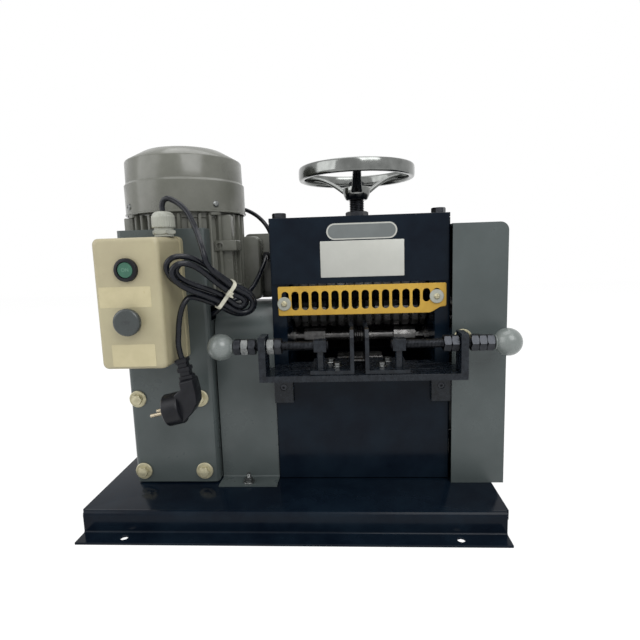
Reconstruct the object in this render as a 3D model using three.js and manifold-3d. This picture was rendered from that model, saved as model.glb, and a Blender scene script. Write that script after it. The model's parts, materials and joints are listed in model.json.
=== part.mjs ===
// An electric wire stripping machine for a bench: an upright motor and its gearbox turn four geared
// roller shafts in a boxed head. Thin wires enter through the slotted plate and thick cable through
// the guided channel. Millimetres: X runs to the right, Y to the rear, Z up from the floor.
import * as THREE from 'three';
import { mergeVertices } from 'three/addons/utils/BufferGeometryUtils.js';
import Module from 'manifold-3d';

const wasm = await Module();
wasm.setup();

// Clearances, and how finely round forms are faceted
const gap = 0.3;
const overrun = 2;
const arcSteps = 2;
const bendSteps = 3;
const boltSides = 8;
const rodSides = 12;
const wheelSides = 14;
const coverSides = 28;
const hexSides = 6;

// Base: a tray folded from plate, open below, flanged along its front and its back
const baseLength = 540;
const baseDepth = 380;
const baseHeight = 31;
const baseSheet = 3;
const baseFlange = 23;
const baseBend = 3.5;
const baseLipReach = 3;
const baseLipDrop = 13;
const baseHoleRadius = 5;
const baseHoleInset = 59;

// Layout of the drive: the head's middle, and the plane that holds every shaft
const headX = 96;
const driveY = 5;
const motorSpacing = 258;
const feedHeight = 141;

// Motor: a finned aluminium body on a flange, its end shield and a pressed fan cover
const motorFlangeRadius = 80;
const motorFlangeHeight = 12;
const motorRootRadius = 76;
const motorFinRadius = 83;
const motorFins = 28;
const motorFinTipShare = 0.42;
const motorFinRootShare = 0.55;
const motorBodyHeight = 103;
const motorShieldRadius = 80;
const motorShieldHeight = 12;
const motorLugInner = 72;
const motorLugReach = 88.4;
const motorLugWidth = 16;
const motorLugHeight = 15;
const motorLugs = 4;
const motorPadInner = 54;
const motorPadOuter = 86;
const motorPadFront = 56;
const motorPadRear = 20;
const motorPadHeight = 15;
const motorPadLift = 1;
const motorPadSpacing = 62;
const motorPadStripDepth = 48;
const motorPadHoleRadius = 4;
const motorPadHoleDepth = 10;
const motorPadHoleInset = 8;
const motorEntryRadius = 8;
const motorEntryReach = 90;
const motorEntryDrop = 9;
const rotorRadius = 45.5;
const rotorLength = 70;
const rotorLift = 19;
const rotorShaftRadius = 9.7;
const fanLift = 18;
const fanHeight = 21;
const fanRadius = 72;
const fanHubRadius = 22;
const fanDiscRadius = 50;
const fanDiscThickness = 3;
const fanBlades = 7;
const fanBladeThickness = 2.5;
const fanCoverRadius = 91.4;
const fanCoverSheet = 2;
const fanCoverLift = 2;
const fanCoverHeight = 93;
const fanCoverStep = 39;
const fanCoverStepDepth = 2.8;
const fanCoverStepHeight = 8;
const fanCoverCrown = 17;
const fanCoverCrownInset = 31;
const fanCoverCrownShares = [[0.1, 0.45], [0.38, 0.82]];
const fanCoverSlots = 16;
const fanCoverSlotWidth = 5;
const fanCoverSlotInner = 16;
const fanCoverSlotOuter = 50;

// Gearbox: a ribbed cast housing with a round input flange and an output boss
const gearboxLeftReach = 65.5;
const gearboxRightReach = 46;
const gearboxRearReach = 80;
const gearboxHeight = 231;
const gearboxCorner = 3;
const gearboxFootHeight = 10;
const gearboxFootReach = 5;
const gearboxFootInset = 38;
const gearboxRibs = 4;
const gearboxRibThickness = 5;
const gearboxRibReach = 4;
const gearboxRibInset = 46;
const gearboxRibDrop = 20;
const gearboxFlangeRadius = 52;
const gearboxFlangeHeight = 23;
const gearboxInputDepth = 60;
const gearboxBossRadius = 34;
const gearboxBossReach = 4;

// Motor bracket: a folded channel bolted to the front of the gearbox
const bracketLeftReach = 69;
const bracketRightReach = 52;
const bracketClearance = 9;
const bracketTopRoom = 9;
const bracketSheet = 3;
const bracketReturn = 38;
const bracketBend = 5;
const bracketLift = 2;
const bracketBoltInset = 12;
const bracketBoltSideInset = 20;
const bracketBoltLow = 19.5;
const bracketBoltHigh = 126.5;
const bracketRelief = 1.5;
const bracketNotchLift = 2;
const bracketNotchInset = 10;
const boltRadius = 4;
const boltHeadRadius = 7.5;
const boltHeadHeight = 5.5;
const boltWasherRadius = 12;
const boltWasherThickness = 2.2;
const boltShank = 16;
const boltRunout = 2;

// Terminal box: a rounded box on a flat plate beside the motor, with a gland facing forward
const terminalLeftReach = 62;
const terminalRightReach = 108;
const terminalPlateReach = 123;
const terminalFrontReach = 3;
const terminalPlateBack = 34;
const terminalPlateThickness = 5;
const terminalHeight = 97;
const terminalPlateHeight = 102;
const terminalCorner = 8;
const glandInset = 7;
const glandHeight = 66;
const glandNeckRadius = 6.5;
const glandNeck = 10;
const glandHexRadius = 7.5;
const glandHex = 7;

// Starter: a tray and a drafted lid with a start button and a mushroom stop button
const starterWidth = 85;
const starterHeight = 162.5;
const starterDepth = 79;
const starterLeftReach = 63;
const starterLift = 186.5;
const starterTray = 12;
const starterTrayRim = 1;
const starterDraft = 1.6;
const starterWall = 2.5;
const starterCorner = 7;
const starterRound = 4;
const starterBevel = 1.2;
const buttonSide = 43.5;
const startButtonHeight = 123;
const stopButtonHeight = 61.5;
const buttonClearance = 0.4;
const bezelRadius = 14;
const bezelProud = 6;
const bezelTubeRadius = 10.9;
const bezelWall = 1;
const bezelTubeDepth = 20;
const startCapInset = 1;
const startCapLength = 24;
const stopHeadRadius = 16.5;
const stopHeadThickness = 7;
const stopHeadRound = 3;
const stopHeadClear = 8;
const stopStemLength = 32;
const starterGlandSide = 13;
const starterGlandFront = 52;
const starterGlandNeckRadius = 12;
const starterGlandNeck = 14;
const starterGlandHexRadius = 15.2;
const starterGlandHex = 13;
const starterGlandTopRadius = 9;
const starterGlandTop = 5;

// Head: two thick side plates joined by covers, panels and a top plate
const plateThickness = 20;
const headHalfWidth = 121;
const headFrontReach = 80;
const headRearReach = 90;
const headHeight = 364;
const topPlateThickness = 6;
const coverInset = 2;
const frontCoverSheet = 2.7;
const frontCoverHeight = 89;
const frontCoverLip = 10;
const lowerPanelHeight = 155;
const lowerPanelLift = 2;
const rearCoverSheet = 2;
const exitHalfWidth = 86;
const exitLow = 157;
const exitHigh = 277;
const topBoltInset = 12;
const topBoltFront = 20;
const topBoltRadius = 5;
const topBoltShank = 26;
const topBoltHeadRadius = 9.8;
const topBoltHeadHeight = 7.5;

// Rollers, their gears and the sliding carriage of the top roller
const bearingRadius = 12;
const bearingClearance = 0.35;
const gearEndRadius = 9;
const gearModule = 3;
const feedTeeth = 20;
const slittingTeeth = 16;
const narrowTeeth = 12;
const wideTeeth = 18;
const addendumShare = 0.85;
const dedendumShare = 1.2;
const pressureAngle = 20;
const toothRelief = 0.5;
const flankShares = [0, 1];
const gearWidth = 11;
const gearSpacing = 3;
const gearStandoff = 5;
const shaftTip = 2;
const rollerEndRoom = 3;
const feedRollerRadius = 27.6;
const feedRollerHalf = 34;
const feedFlutes = 24;
const feedFluteDepth = 1.2;
const slittingRadius = 7;
const collarRadius = 14;
const collarInner = 52;
const collarOuter = 84;
const slittingBlades = 4;
const slittingBladePitch = 3.4;
const slittingBladeHalf = 0.9;
const slittingBladeRadius = 14;
const slittingSleeveRadius = 10;
const groovedRadius = 21.5;
const grooveDepth = 3.5;
const grooveHalf = 2.8;
const cutterSleeveRadius = 24;
const cutterBladeRadius = 30.5;
const cutterBladeHalf = 1.2;
const carriageHalf = 25;
const carriageFoot = 24;
const carriageBarLift = 33;
const carriageBarHeight = 17;
const couplingRadius = 27;
const couplingWaist = 22;
const couplingLength = 52;
const couplingHub = 19;
const couplingBevel = 2;
const couplingSocket = 27;
const couplingSetback = 23;
const outputStub = 46;

// Handwheel and the screw that lifts the carriage
const screwRadius = 11;
const screwNeckRadius = 8;
const screwFootRadius = 10.5;
const screwFoot = 4;
const screwTip = 9;
const screwTipShare = 0.7;
const bushRadius = 21;
const bushFlange = 4;
const bushNutRadius = 17;
const bushNut = 7;
const wheelLift = 28;
const wheelRadius = 85;
const rimWidth = 9;
const rimHeight = 18;
const rimLift = 29;
const rimRound = 2.5;
const hubRadius = 20;
const hubFootRadius = 16;
const hubHeight = 19;
const spokes = 3;
const spokeTurn = 30;
const spokeWidth = 17;
const spokeTaperShare = 0.25;
const spokeThickness = 7;
const spokeSteps = 4;

// Slotted feed plate for thin wires
const slotPlateHalf = 114;
const slotPlateOffset = 2;
const slotPlateHeight = 40;
const slotPlateSheet = 2;
const slotPlateGap = 3;
const slotPlateCorner = 2;
const slotPlateNotch = 22;
const slotPlateNotchRise = 8;
const slotPitch = 13.7;
const slotWidth = 10;
const slotTall = 26;
const slotShort = 18;
const slotTallCount = 14;
const slotShortCount = 2;
const slotSide = 9.8;
const slotTopRoom = 7;

// Guide table and its two adjustable guides
const tableHalf = 131;
const tableRearHalf = 119;
const tableDepth = 65;
const tableLift = 161;
const tableThickness = 8;
const tableTongue = 15;
const tableLugDepth = 31;
const tableLugHeight = 50;
const tableLugThickness = 9;
const tableTabWidth = 26;
const tableTabDrop = 44;
const tableTabThickness = 8;
const tableTabHoleRadius = 5;
const tableTabHoleDrop = 22;
const tableSlotWidth = 6.5;
const tableSlotInner = 31;
const tableSlotOuter = 106;
const tableSlotFront = 27;
const tableSlotSpacing = 25;
const guideMiddleOffset = -3;
const guideChannel = 14;
const guideSheet = 5;
const guideDepth = 112;
const guideInset = 3;
const guideHeight = 56;
const guideFoot = 56;
const guideFootDepth = 76;
const guideChamfer = 9;
const screwBlockWidth = 16;
const screwBlockHeight = 15;
const screwBlockInset = 35;
const screwPostRadius = 5;
const leadInset = 15;
const leadLift = 36;
const leadRadius = 6;
// The flats of this bore stand clear of the screw's corners as it turns
const leadBoreRadius = (leadRadius + gap) / Math.cos(Math.PI / boltSides);
const leadEndInset = 33;
const nutRadius = 11;
const nutThickness = 9;
const nutSpacing = 0.6;
const outerNuts = 3;
const innerNuts = 2;
const outerNutGap = 5;
const innerNutGap = 1;
const knobRadius = 17.5;
const knobNeckRadius = 9;
const knobSocket = 12;
const knobSpacing = 0.8;

// Sheet covers at the left and the right of the head
const couplingCoverReach = 83;
const couplingCoverRearReach = 80;
const couplingCoverHeight = 251;
const couplingCoverBend = 40;
const couplingCoverFoot = 28;
const couplingCoverFootBend = 3;
const couplingCoverSheet = 2;
const gearCoverReach = 71;
const gearCoverFront = 15;
const gearCoverRear = 17;
const gearCoverHeight = 355;
const gearCoverCorner = 16;
const gearCoverSheet = 2;
const gearCoverBoltSide = 14;
const gearCoverBoltHeight = 205;
const gearCoverSlotReach = 35;
const gearCoverSlotHalf = 5;
const gearCoverEarLength = 30;
const gearCoverEarHalf = 10;
const gearCoverEarThickness = 8;
const gearCoverEarWeb = 6;
const gearCoverEarRoot = 14;

// Cords: their sizes, and the routes of the stretches that aren't coiled
const leadCordRadius = 3.25;
const leadHoleClearance = 2.5;
const leadCordSides = 8;
const cordRadius = 3.5;
const cordSides = 8;
const cordStep = 17;
const motorLeadRoute = [
  [-46, 21.4, 351.3], [-46, 14, 351.3], [-44.5, 2, 349], [-44, -10, 343], [-47, -22, 332],
  [-52, -31, 319], [-58, -42, 307], [-66, -54, 299], [-77, -64, 293.5], [-89, -70, 287.5],
  [-99, -71.5, 281], [-106, -71.5, 275.5], [-115, -71, 271.5], [-125, -73.5, 271.5], [-134, -77.5, 276],
  [-139.5, -80.5, 285], [-145, -79.5, 296], [-149.6, -80, 303.6], [-151, -86.4, 306], [-151, -97, 306],
];
const rearLeadRoute = [
  [-46, 44.4, 372], [-46, 52, 372], [-45, 58, 377], [-44.5, 56, 388], [-51, 54, 402],
  [-63, 56, 415], [-79, 62, 425], [-98, 79, 431], [-122, 96, 431], [-144, 106, 423],
  [-157, 109, 411], [-161, 107, 405.4], [-162, 103, 403.6], [-162, 95.4, 403.6],
];
const cordLeadRoute = [
  [-153, -117.3, 412.6], [-153, -117.3, 419.7], [-150.4, -118, 425.4], [-144.6, -119.6, 427.6],
  [-137, -121, 425], [-126.4, -124, 418], [-118.2, -127, 409.6], [-112, -130, 399.5],
  [-106, -134, 387.5], [-100.5, -142, 377], [-95, -150.5, 366], [-91.5, -154.5, 355], [-90, -153.5, 347],
];
const cordTailRoute = [
  [-117.5, -141.2, 303.6], [-122.6, -146, 298], [-126.4, -149.2, 288.4], [-129.4, -150.6, 275.4],
  [-131.4, -150.6, 260], [-132.8, -150.2, 247],
];

// The hank: nested loops in two layers, drawn in at a waist
const hankMiddle = [-90.5, -134.5, 315.5];
const hankLengthwiseShares = [0.65, 0.577, -0.504];
const hankUpwardShares = [0.616, 0, 0.794];
const hankSides = 6;
const hankTurns = 3.5;
const hankClimbTurn = 1.5;
const hankClimbTurns = 0.5;
const hankStepsPerTurn = 24;
const hankStartAngle = 95;
const hankHalfLength = 65;
const hankWideHalf = 27;
const hankWaistHalf = 15.6;
const hankEndHalf = 25;
const hankWaistShare = 0.32;
const hankSideStep = 8.5;
const hankEndStep = 13;
const hankLayer = 8.2;
const hankSamples = 900;

// Angled mains plug: a ribbed strain relief, a grip and a round face with two pins
const plugX = -130;
const plugY = -150;
const plugZ = 228;
const plugTilt = 13;
const plugNeckHalf = 9;
const plugNeckThickness = 14;
const plugNeckLength = 40;
const plugRibs = 5;
const plugRibPitch = 4.4;
const plugRibHeight = 1.8;
const plugRibDepth = 3;
const plugRibStart = 5;
const plugFaceReach = 38;
const plugFaceDrop = 60.5;
const plugFaceRadius = 20.5;
const plugFaceRound = 1;
const plugCollar = 21;
const plugGripThickness = 25;
const plugGripShares = [
  [0.237, -0.45], [0.224, -0.74], [0.158, -0.967], [-0.079, -1.132], [-0.42, -1.28],
  [-0.53, -1.3], [-0.53, -0.69], [-0.237, -0.6],
];
const plugPinRadius = 2.4;
const plugPinLength = 19;
const plugPinSpacing = 19;

// Levels, from the base upward
const seatZ = baseHeight + gap;
const gearboxTop = seatZ + gearboxHeight;
const inputTop = gearboxTop + gearboxFlangeHeight;
const motorLow = inputTop + gap;
const motorBodyLow = motorLow + motorFlangeHeight;
const motorShieldLow = motorBodyLow + motorBodyHeight;
const motorTop = motorShieldLow + motorShieldHeight;
const fanLow = motorTop + fanLift;
const fanCoverLow = motorTop + fanCoverLift;
const fanCoverTop = fanCoverLow + fanCoverHeight;
const widePitch = gearModule * wideTeeth;
const narrowPitch = gearModule * narrowTeeth;
const feedZ = baseHeight + feedHeight;
const slittingZ = feedZ + gearModule * (feedTeeth + slittingTeeth) / 2;
const groovedZ = slittingZ + narrowPitch;
const cutterZ = groovedZ + widePitch;
const plateTop = seatZ + headHeight;
const topPlateLow = plateTop + gap;
const headTop = topPlateLow + topPlateThickness;
const frontCoverTop = headTop - gap;
const frontCoverLow = frontCoverTop - frontCoverHeight;
const slotPlateTop = frontCoverLow - slotPlateGap;
const slotPlateLow = slotPlateTop - slotPlateHeight;
const tableLow = baseHeight + tableLift;
const tableTop = tableLow + tableThickness;
const guideLow = tableTop + gap;
const leadZ = guideLow + leadLift;
const carriageLow = cutterZ - carriageFoot;
const barLow = cutterZ + carriageBarLift;
const barTop = barLow + carriageBarHeight;
const wheelLow = headTop + wheelLift;

// Places across and along the machine
const motorX = headX - motorSpacing;
const bracketFront = driveY - motorFinRadius - bracketClearance - bracketSheet;
const bracketRear = bracketFront + bracketSheet;
const bracketLeft = motorX - bracketLeftReach;
const bracketRight = motorX + bracketRightReach;
const bracketTop = motorShieldLow - bracketTopRoom;
const gearboxFront = bracketRear + gap;
const gearboxRear = driveY + gearboxRearReach;
const gearboxLeft = motorX - gearboxLeftReach;
const gearboxRight = motorX + gearboxRightReach;
const headLeft = headX - headHalfWidth;
const headRight = headX + headHalfWidth;
const headFront = driveY - headFrontReach;
const headRear = driveY + headRearReach;
const laneLeft = headLeft + plateThickness;
const laneRight = headRight - plateThickness;
const panelRear = headFront - gap;
const panelFront = panelRear - frontCoverSheet;
const gearPlane = (index) => headRight + gearStandoff + index * (gearWidth + gearSpacing);
const starterLeft = motorX - starterLeftReach;
const starterRight = starterLeft + starterWidth;
const starterBack = bracketFront - gap;
const starterFront = starterBack - starterDepth;
const lidBack = starterBack - starterTray - gap;
const starterLow = baseHeight + starterLift;
const starterTop = starterLow + starterHeight;
const startZ = starterLow + startButtonHeight;
const stopZ = starterLow + stopButtonHeight;
const buttonX = starterLeft + buttonSide;
const glandX = motorX + terminalPlateReach - glandInset;
const glandZ = inputTop + glandHeight;
const slotPlateX = headX + slotPlateOffset;
const slotX = (index) => slotPlateX - slotPlateHalf + slotSide + index * slotPitch;
const guideX = headX + guideMiddleOffset;
const tableRear = panelRear;
const tableFront = tableRear - tableDepth;
const leadY = tableFront + leadInset;
const gearCoverFrontY = headFront - gearCoverFront;
const gearCoverRearY = headRear + gearCoverRear;
const gearCoverTop = seatZ + gearCoverHeight;
const gearCoverBoltX = headRight + gearCoverBoltSide;
const gearCoverBoltZ = baseHeight + gearCoverBoltHeight;
const fullTurn = 2 * Math.PI;
const radians = (degrees) => degrees * Math.PI / 180;
const ordered = (a, b) => (a < b ? [a, b] : [b, a]);

// Solids from three.js geometry, joined and cut
const solidOf = (geometry) => {
  const bare = new THREE.BufferGeometry();
  bare.setAttribute('position', geometry.getAttribute('position'));
  bare.setIndex(geometry.getIndex());
  const merged = mergeVertices(bare);
  const corners = merged.getIndex().array;
  const faces = [];
  for (let i = 0; i < corners.length; i += 3) {
    const [a, b, c] = corners.slice(i, i + 3);
    if (a !== b && b !== c && c !== a) faces.push([a, b, c]);
  }
  const vertProperties = new Float32Array(merged.getAttribute('position').array);
  const meshOf = (list) =>
    new wasm.Mesh({ numProp: 3, vertProperties, triVerts: new Uint32Array(list.flat()) });
  const solid = new wasm.Manifold(meshOf(faces));
  if (solid.volume() > 0) return solid;
  return new wasm.Manifold(meshOf(faces.map(([a, b, c]) => [a, c, b])));
};

const geometryOf = (solid) => {
  const { vertProperties, triVerts } = solid.getMesh();
  const geometry = new THREE.BufferGeometry();
  geometry.setAttribute('position', new THREE.BufferAttribute(vertProperties, 3));
  geometry.setIndex(new THREE.BufferAttribute(triVerts, 1));
  geometry.computeVertexNormals();
  return geometry;
};

const fuse = (first, ...others) => others.reduce((whole, next) => whole.add(next), first);
const carve = (body, ...cutters) => cutters.reduce((whole, next) => whole.subtract(next), body);

// Frames: which way a flat outline, or a turned profile's axis, lies
const toRight = new THREE.Vector3(1, 0, 0);
const toRear = new THREE.Vector3(0, 1, 0);
const toFront = new THREE.Vector3(0, -1, 0);
const toTop = new THREE.Vector3(0, 0, 1);
const toFloor = new THREE.Vector3(0, 0, -1);
const frameOf = (first, second, third, x, y, z) =>
  new THREE.Matrix4().makeBasis(first, second, third).setPosition(x, y, z);

const extruded = (shape, depth, frame) => {
  const options = { depth, bevelEnabled: false, curveSegments: arcSteps };
  return solidOf(new THREE.ExtrudeGeometry(shape, options).applyMatrix4(frame));
};
const alongX = (shape, x0, x1) => extruded(shape, x1 - x0, frameOf(toRear, toTop, toRight, x0, 0, 0));
const alongY = (shape, y0, y1) => extruded(shape, y1 - y0, frameOf(toRight, toTop, toFront, 0, y1, 0));
const alongZ = (shape, z0, z1) => extruded(shape, z1 - z0, frameOf(toRight, toRear, toTop, 0, 0, z0));

const block = (x0, x1, y0, y1, z0, z1) => {
  const box = new THREE.BoxGeometry(x1 - x0, y1 - y0, z1 - z0);
  return solidOf(box.translate((x0 + x1) / 2, (y0 + y1) / 2, (z0 + z1) / 2));
};

// A profile is a list of [radius, place along the axis]
const turnedIn = (frame, profile, sides) => {
  const points = profile.map(([radius, place]) => new THREE.Vector2(radius, place));
  return solidOf(new THREE.LatheGeometry(points, sides).applyMatrix4(frame));
};
const turnedX = (y, z, profile, sides) => turnedIn(frameOf(toRear, toRight, toFloor, 0, y, z), profile, sides);
const turnedY = (x, z, profile, sides) => turnedIn(frameOf(toRight, toRear, toTop, x, 0, z), profile, sides);
const turnedZ = (x, y, profile, sides) => turnedIn(frameOf(toRight, toTop, toFront, x, y, 0), profile, sides);
const rodProfile = (low, high, radius) => [[0, low], [radius, low], [radius, high], [0, high]];
const rodX = (x0, x1, y, z, radius, sides) => turnedX(y, z, rodProfile(x0, x1, radius), sides);
const rodY = (x, y0, y1, z, radius, sides) => turnedY(x, z, rodProfile(y0, y1, radius), sides);
const rodZ = (x, y, z0, z1, radius, sides) => turnedZ(x, y, rodProfile(z0, z1, radius), sides);

// Flat outlines
const polygon = (points) => new THREE.Shape(points.map(([u, v]) => new THREE.Vector2(u, v)));

const roundedRectangle = (u0, u1, v0, v1, radius) => {
  const shape = new THREE.Shape();
  shape.absarc(u1 - radius, v0 + radius, radius, -Math.PI / 2, 0);
  shape.absarc(u1 - radius, v1 - radius, radius, 0, Math.PI / 2);
  shape.absarc(u0 + radius, v1 - radius, radius, Math.PI / 2, Math.PI);
  shape.absarc(u0 + radius, v0 + radius, radius, Math.PI, Math.PI * 1.5);
  return shape;
};

const slotHole = (u, v0, v1, width) => {
  const hole = new THREE.Path();
  const radius = width / 2;
  hole.absarc(u, v0 + radius, radius, Math.PI, fullTurn);
  hole.absarc(u, v1 - radius, radius, 0, Math.PI);
  return hole;
};

// The outline of bent sheet along its middle line, given as [u, v, bend radius] corners
const sheetOutline = (corners, thickness) => {
  const points = corners.map(([u, v]) => new THREE.Vector2(u, v));
  const leftEdge = [];
  const rightEdge = [];
  const put = (place, normal) => {
    leftEdge.push(place.clone().addScaledVector(normal, thickness / 2));
    rightEdge.unshift(place.clone().addScaledVector(normal, -thickness / 2));
  };
  const headings = points.slice(1).map((point, i) => point.clone().sub(points[i]).normalize());
  const normalOf = (heading) => new THREE.Vector2(-heading.y, heading.x);
  put(points[0], normalOf(headings[0]));
  for (let i = 1; i < points.length - 1; i += 1) {
    const turn = Math.atan2(headings[i - 1].cross(headings[i]), headings[i - 1].dot(headings[i]));
    const side = Math.sign(turn);
    const radius = corners[i][2];
    const setback = radius * Math.tan(Math.abs(turn) / 2);
    const start = points[i].clone().addScaledVector(headings[i - 1], -setback);
    const centre = start.addScaledVector(normalOf(headings[i - 1]), side * radius);
    for (let k = 0; k <= bendSteps; k += 1) {
      const normal = normalOf(headings[i - 1]).rotateAround(new THREE.Vector2(), turn * k / bendSteps);
      put(centre.clone().addScaledVector(normal, -side * radius), normal);
    }
  }
  put(points[points.length - 1], normalOf(headings[headings.length - 1]));
  return new THREE.Shape([...leftEdge, ...rightEdge]);
};

// A closed skin over rings that have the same number of points
const loft = (rings) => {
  const count = rings[0].length;
  const places = rings.flat().flatMap((point) => point.toArray());
  const faces = [];
  for (let i = 0; i < rings.length - 1; i += 1) {
    for (let k = 0; k < count; k += 1) {
      const a = i * count + k;
      const b = i * count + (k + 1) % count;
      faces.push(a, b, b + count, a, b + count, a + count);
    }
  }
  const last = (rings.length - 1) * count;
  for (let k = 1; k < count - 1; k += 1) {
    faces.push(0, k + 1, k);
    faces.push(last, last + k, last + k + 1);
  }
  const geometry = new THREE.BufferGeometry();
  geometry.setAttribute('position', new THREE.Float32BufferAttribute(places, 3));
  geometry.setIndex(faces);
  return solidOf(geometry);
};

// A tube along a curve, with flat ends
const tubeAlong = (curve, radius, sides, steps) => {
  const corners = Array.from({ length: sides }, (_, k) => {
    const angle = fullTurn * k / sides;
    return [radius * Math.cos(angle), radius * Math.sin(angle)];
  });
  return solidOf(new THREE.ExtrudeGeometry(polygon(corners), { extrudePath: curve, steps }));
};
const curveThrough = (points) => new THREE.CatmullRomCurve3(points, false, 'centripetal');
const routePoints = (route) => route.map(([x, y, z]) => new THREE.Vector3(x, y, z));

// Materials
const finish = (color, roughness, metalness) =>
  new THREE.MeshStandardMaterial({ color, roughness, metalness, flatShading: true });
const greyPaint = finish(0x4e5554, 0.45, 0.1);
const blackPaint = finish(0x141c26, 0.25, 0.1);
const motorPaint = finish(0x7d7d73, 0.5, 0.2);
const yellowPaint = finish(0xc4a23d, 0.5, 0.1);
const steel = finish(0x9a9c9e, 0.35, 0.9);
const darkSteel = finish(0x3a3c40, 0.4, 0.8);
const zincSteel = finish(0xbeb98c, 0.4, 0.8);
const chromed = finish(0xc9cccf, 0.2, 1);
const boxPlastic = finish(0xada68c, 0.5, 0);
const glandPlastic = finish(0xc8c8b9, 0.5, 0);
const blackPlastic = finish(0x202126, 0.5, 0);
const greenPlastic = finish(0x266e4b, 0.4, 0);
const stopPlastic = finish(0x484b48, 0.3, 0);
const greyBakelite = finish(0x7c827c, 0.35, 0);
const cordJacket = finish(0x2d3038, 0.5, 0);

// The assembly: every piece is a mesh of its own, grouped by the unit that carries it
const part = new THREE.Group();
const unit = () => {
  const group = new THREE.Group();
  part.add(group);
  return group;
};
const place = (group, name, solid, material, x = 0, y = 0, z = 0) => {
  const mesh = new THREE.Mesh(geometryOf(solid), material.clone());
  mesh.name = name;
  mesh.position.set(x, y, z);
  group.add(mesh);
  return mesh;
};

// Base
const basePlate = () => {
  const edge = baseDepth / 2;
  const web = edge - baseFlange - baseSheet / 2;
  const low = baseSheet / 2;
  const high = baseHeight - baseSheet / 2;
  const outline = sheetOutline([
    [-edge, low, 0], [-web, low, baseBend], [-web, high, baseBend],
    [web, high, baseBend], [web, low, baseBend], [edge, low, 0],
  ], baseSheet);
  const end = baseLength / 2;
  const lipY = web - baseSheet / 2 - baseBend;
  const lipLow = baseHeight - baseLipDrop;
  const lips = [-1, 1].map((side) => {
    const [x0, x1] = ordered(side * (end - baseSheet), side * (end + baseLipReach));
    return block(x0, x1, -lipY, lipY, lipLow, baseHeight);
  });
  const holes = [];
  for (const side of [-1, 1]) {
    for (const depth of [-1, 1]) {
      const x = side * (end - baseHoleInset);
      const y = depth * (edge - baseFlange / 2);
      holes.push(rodZ(x, y, -overrun, baseSheet + overrun, baseHoleRadius, boltSides));
    }
  }
  return carve(fuse(alongX(outline, -end, end), ...lips), ...holes);
};

// Gearbox and motor bracket
const bracketBoltPlaces = [bracketBoltLow, bracketBoltHigh].flatMap((height) => [
  [bracketLeft + bracketBoltInset, baseHeight + height],
  [bracketRight - bracketBoltSideInset, baseHeight + height],
]);

const gearboxHousing = () => {
  const plan = roundedRectangle(gearboxLeft, gearboxRight, gearboxFront, gearboxRear, gearboxCorner);
  const footPlan = roundedRectangle(
    gearboxLeft, gearboxRight + gearboxFootReach, gearboxFront + gearboxFootInset,
    gearboxRear + gearboxFootReach, gearboxCorner,
  );
  const ribFront = gearboxFront + gearboxRibInset;
  const ribRange = gearboxRear - gearboxRibInset / 2 - ribFront;
  const ribs = Array.from({ length: gearboxRibs }, (_, k) => {
    const y = ribFront + ribRange * k / (gearboxRibs - 1);
    return block(
      gearboxLeft - gearboxRibReach, gearboxRight + gearboxRibReach,
      y - gearboxRibThickness / 2, y + gearboxRibThickness / 2, seatZ, gearboxTop - gearboxRibDrop,
    );
  });
  const boss = rodX(motorX, gearboxRight + gearboxBossReach, driveY, feedZ, gearboxBossRadius, wheelSides);
  const flange = rodZ(motorX, driveY, gearboxTop - overrun, inputTop, gearboxFlangeRadius, coverSides);
  const input = rodZ(
    motorX, driveY, inputTop - gearboxInputDepth, inputTop + overrun, rotorShaftRadius + gap, wheelSides,
  );
  const stubLeft = headLeft - couplingSetback - couplingLength - outputStub;
  const output = rodX(
    stubLeft - overrun, gearboxRight + gearboxBossReach + overrun, driveY, feedZ,
    bearingRadius + bearingClearance, wheelSides,
  );
  const boltHoles = bracketBoltPlaces.map(([x, z]) => rodY(
    x, gearboxFront - overrun, gearboxFront + boltShank + boltRunout, z, boltRadius + gap, boltSides,
  ));
  const body = fuse(
    alongZ(plan, seatZ, gearboxTop), alongZ(footPlan, seatZ, seatZ + gearboxFootHeight), ...ribs, boss, flange,
  );
  return carve(body, input, output, ...boltHoles);
};

// The motor's lead passes through the bracket and the back of the starter tray
const leadHole = () => {
  const [x, , z] = motorLeadRoute[motorLeadRoute.length - 1];
  const radius = leadCordRadius + leadHoleClearance;
  return rodY(x, starterBack - starterTray, bracketRear + overrun, z, radius, boltSides);
};

const motorBracket = () => {
  const half = bracketSheet / 2;
  const backEdge = bracketFront + bracketReturn;
  const outline = sheetOutline([
    [bracketRight - half, backEdge, 0], [bracketRight - half, bracketFront + half, bracketBend],
    [bracketLeft + half, bracketFront + half, bracketBend], [bracketLeft + half, backEdge, 0],
  ], bracketSheet);
  const motorRoom = rodZ(
    motorX, driveY, inputTop - bracketRelief, bracketTop + overrun, motorFinRadius + bracketRelief, coverSides,
  );
  const boltHoles = bracketBoltPlaces.map(([x, z]) => rodY(
    x, bracketFront - overrun, bracketRear + overrun, z, boltRadius + gap, boltSides,
  ));
  const leadNotch = block(
    bracketRight - bracketSheet - overrun, bracketRight + overrun, bracketFront + bracketNotchInset,
    backEdge + overrun, gearboxTop + bracketNotchLift, inputTop,
  );
  const channel = alongZ(outline, seatZ + bracketLift, bracketTop);
  return carve(channel, motorRoom, ...boltHoles, leadNotch, leadHole());
};

// A hexagon bolt with its washer, pointing to the rear from the face at Y 0
const washeredBolt = (shank) => fuse(
  rodY(0, -boltWasherThickness, 0, 0, boltWasherRadius, rodSides),
  rodY(0, -boltWasherThickness - boltHeadHeight, -boltWasherThickness / 2, 0, boltHeadRadius, hexSides),
  rodY(0, -boltWasherThickness / 2, shank, 0, boltRadius, boltSides),
);

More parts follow.
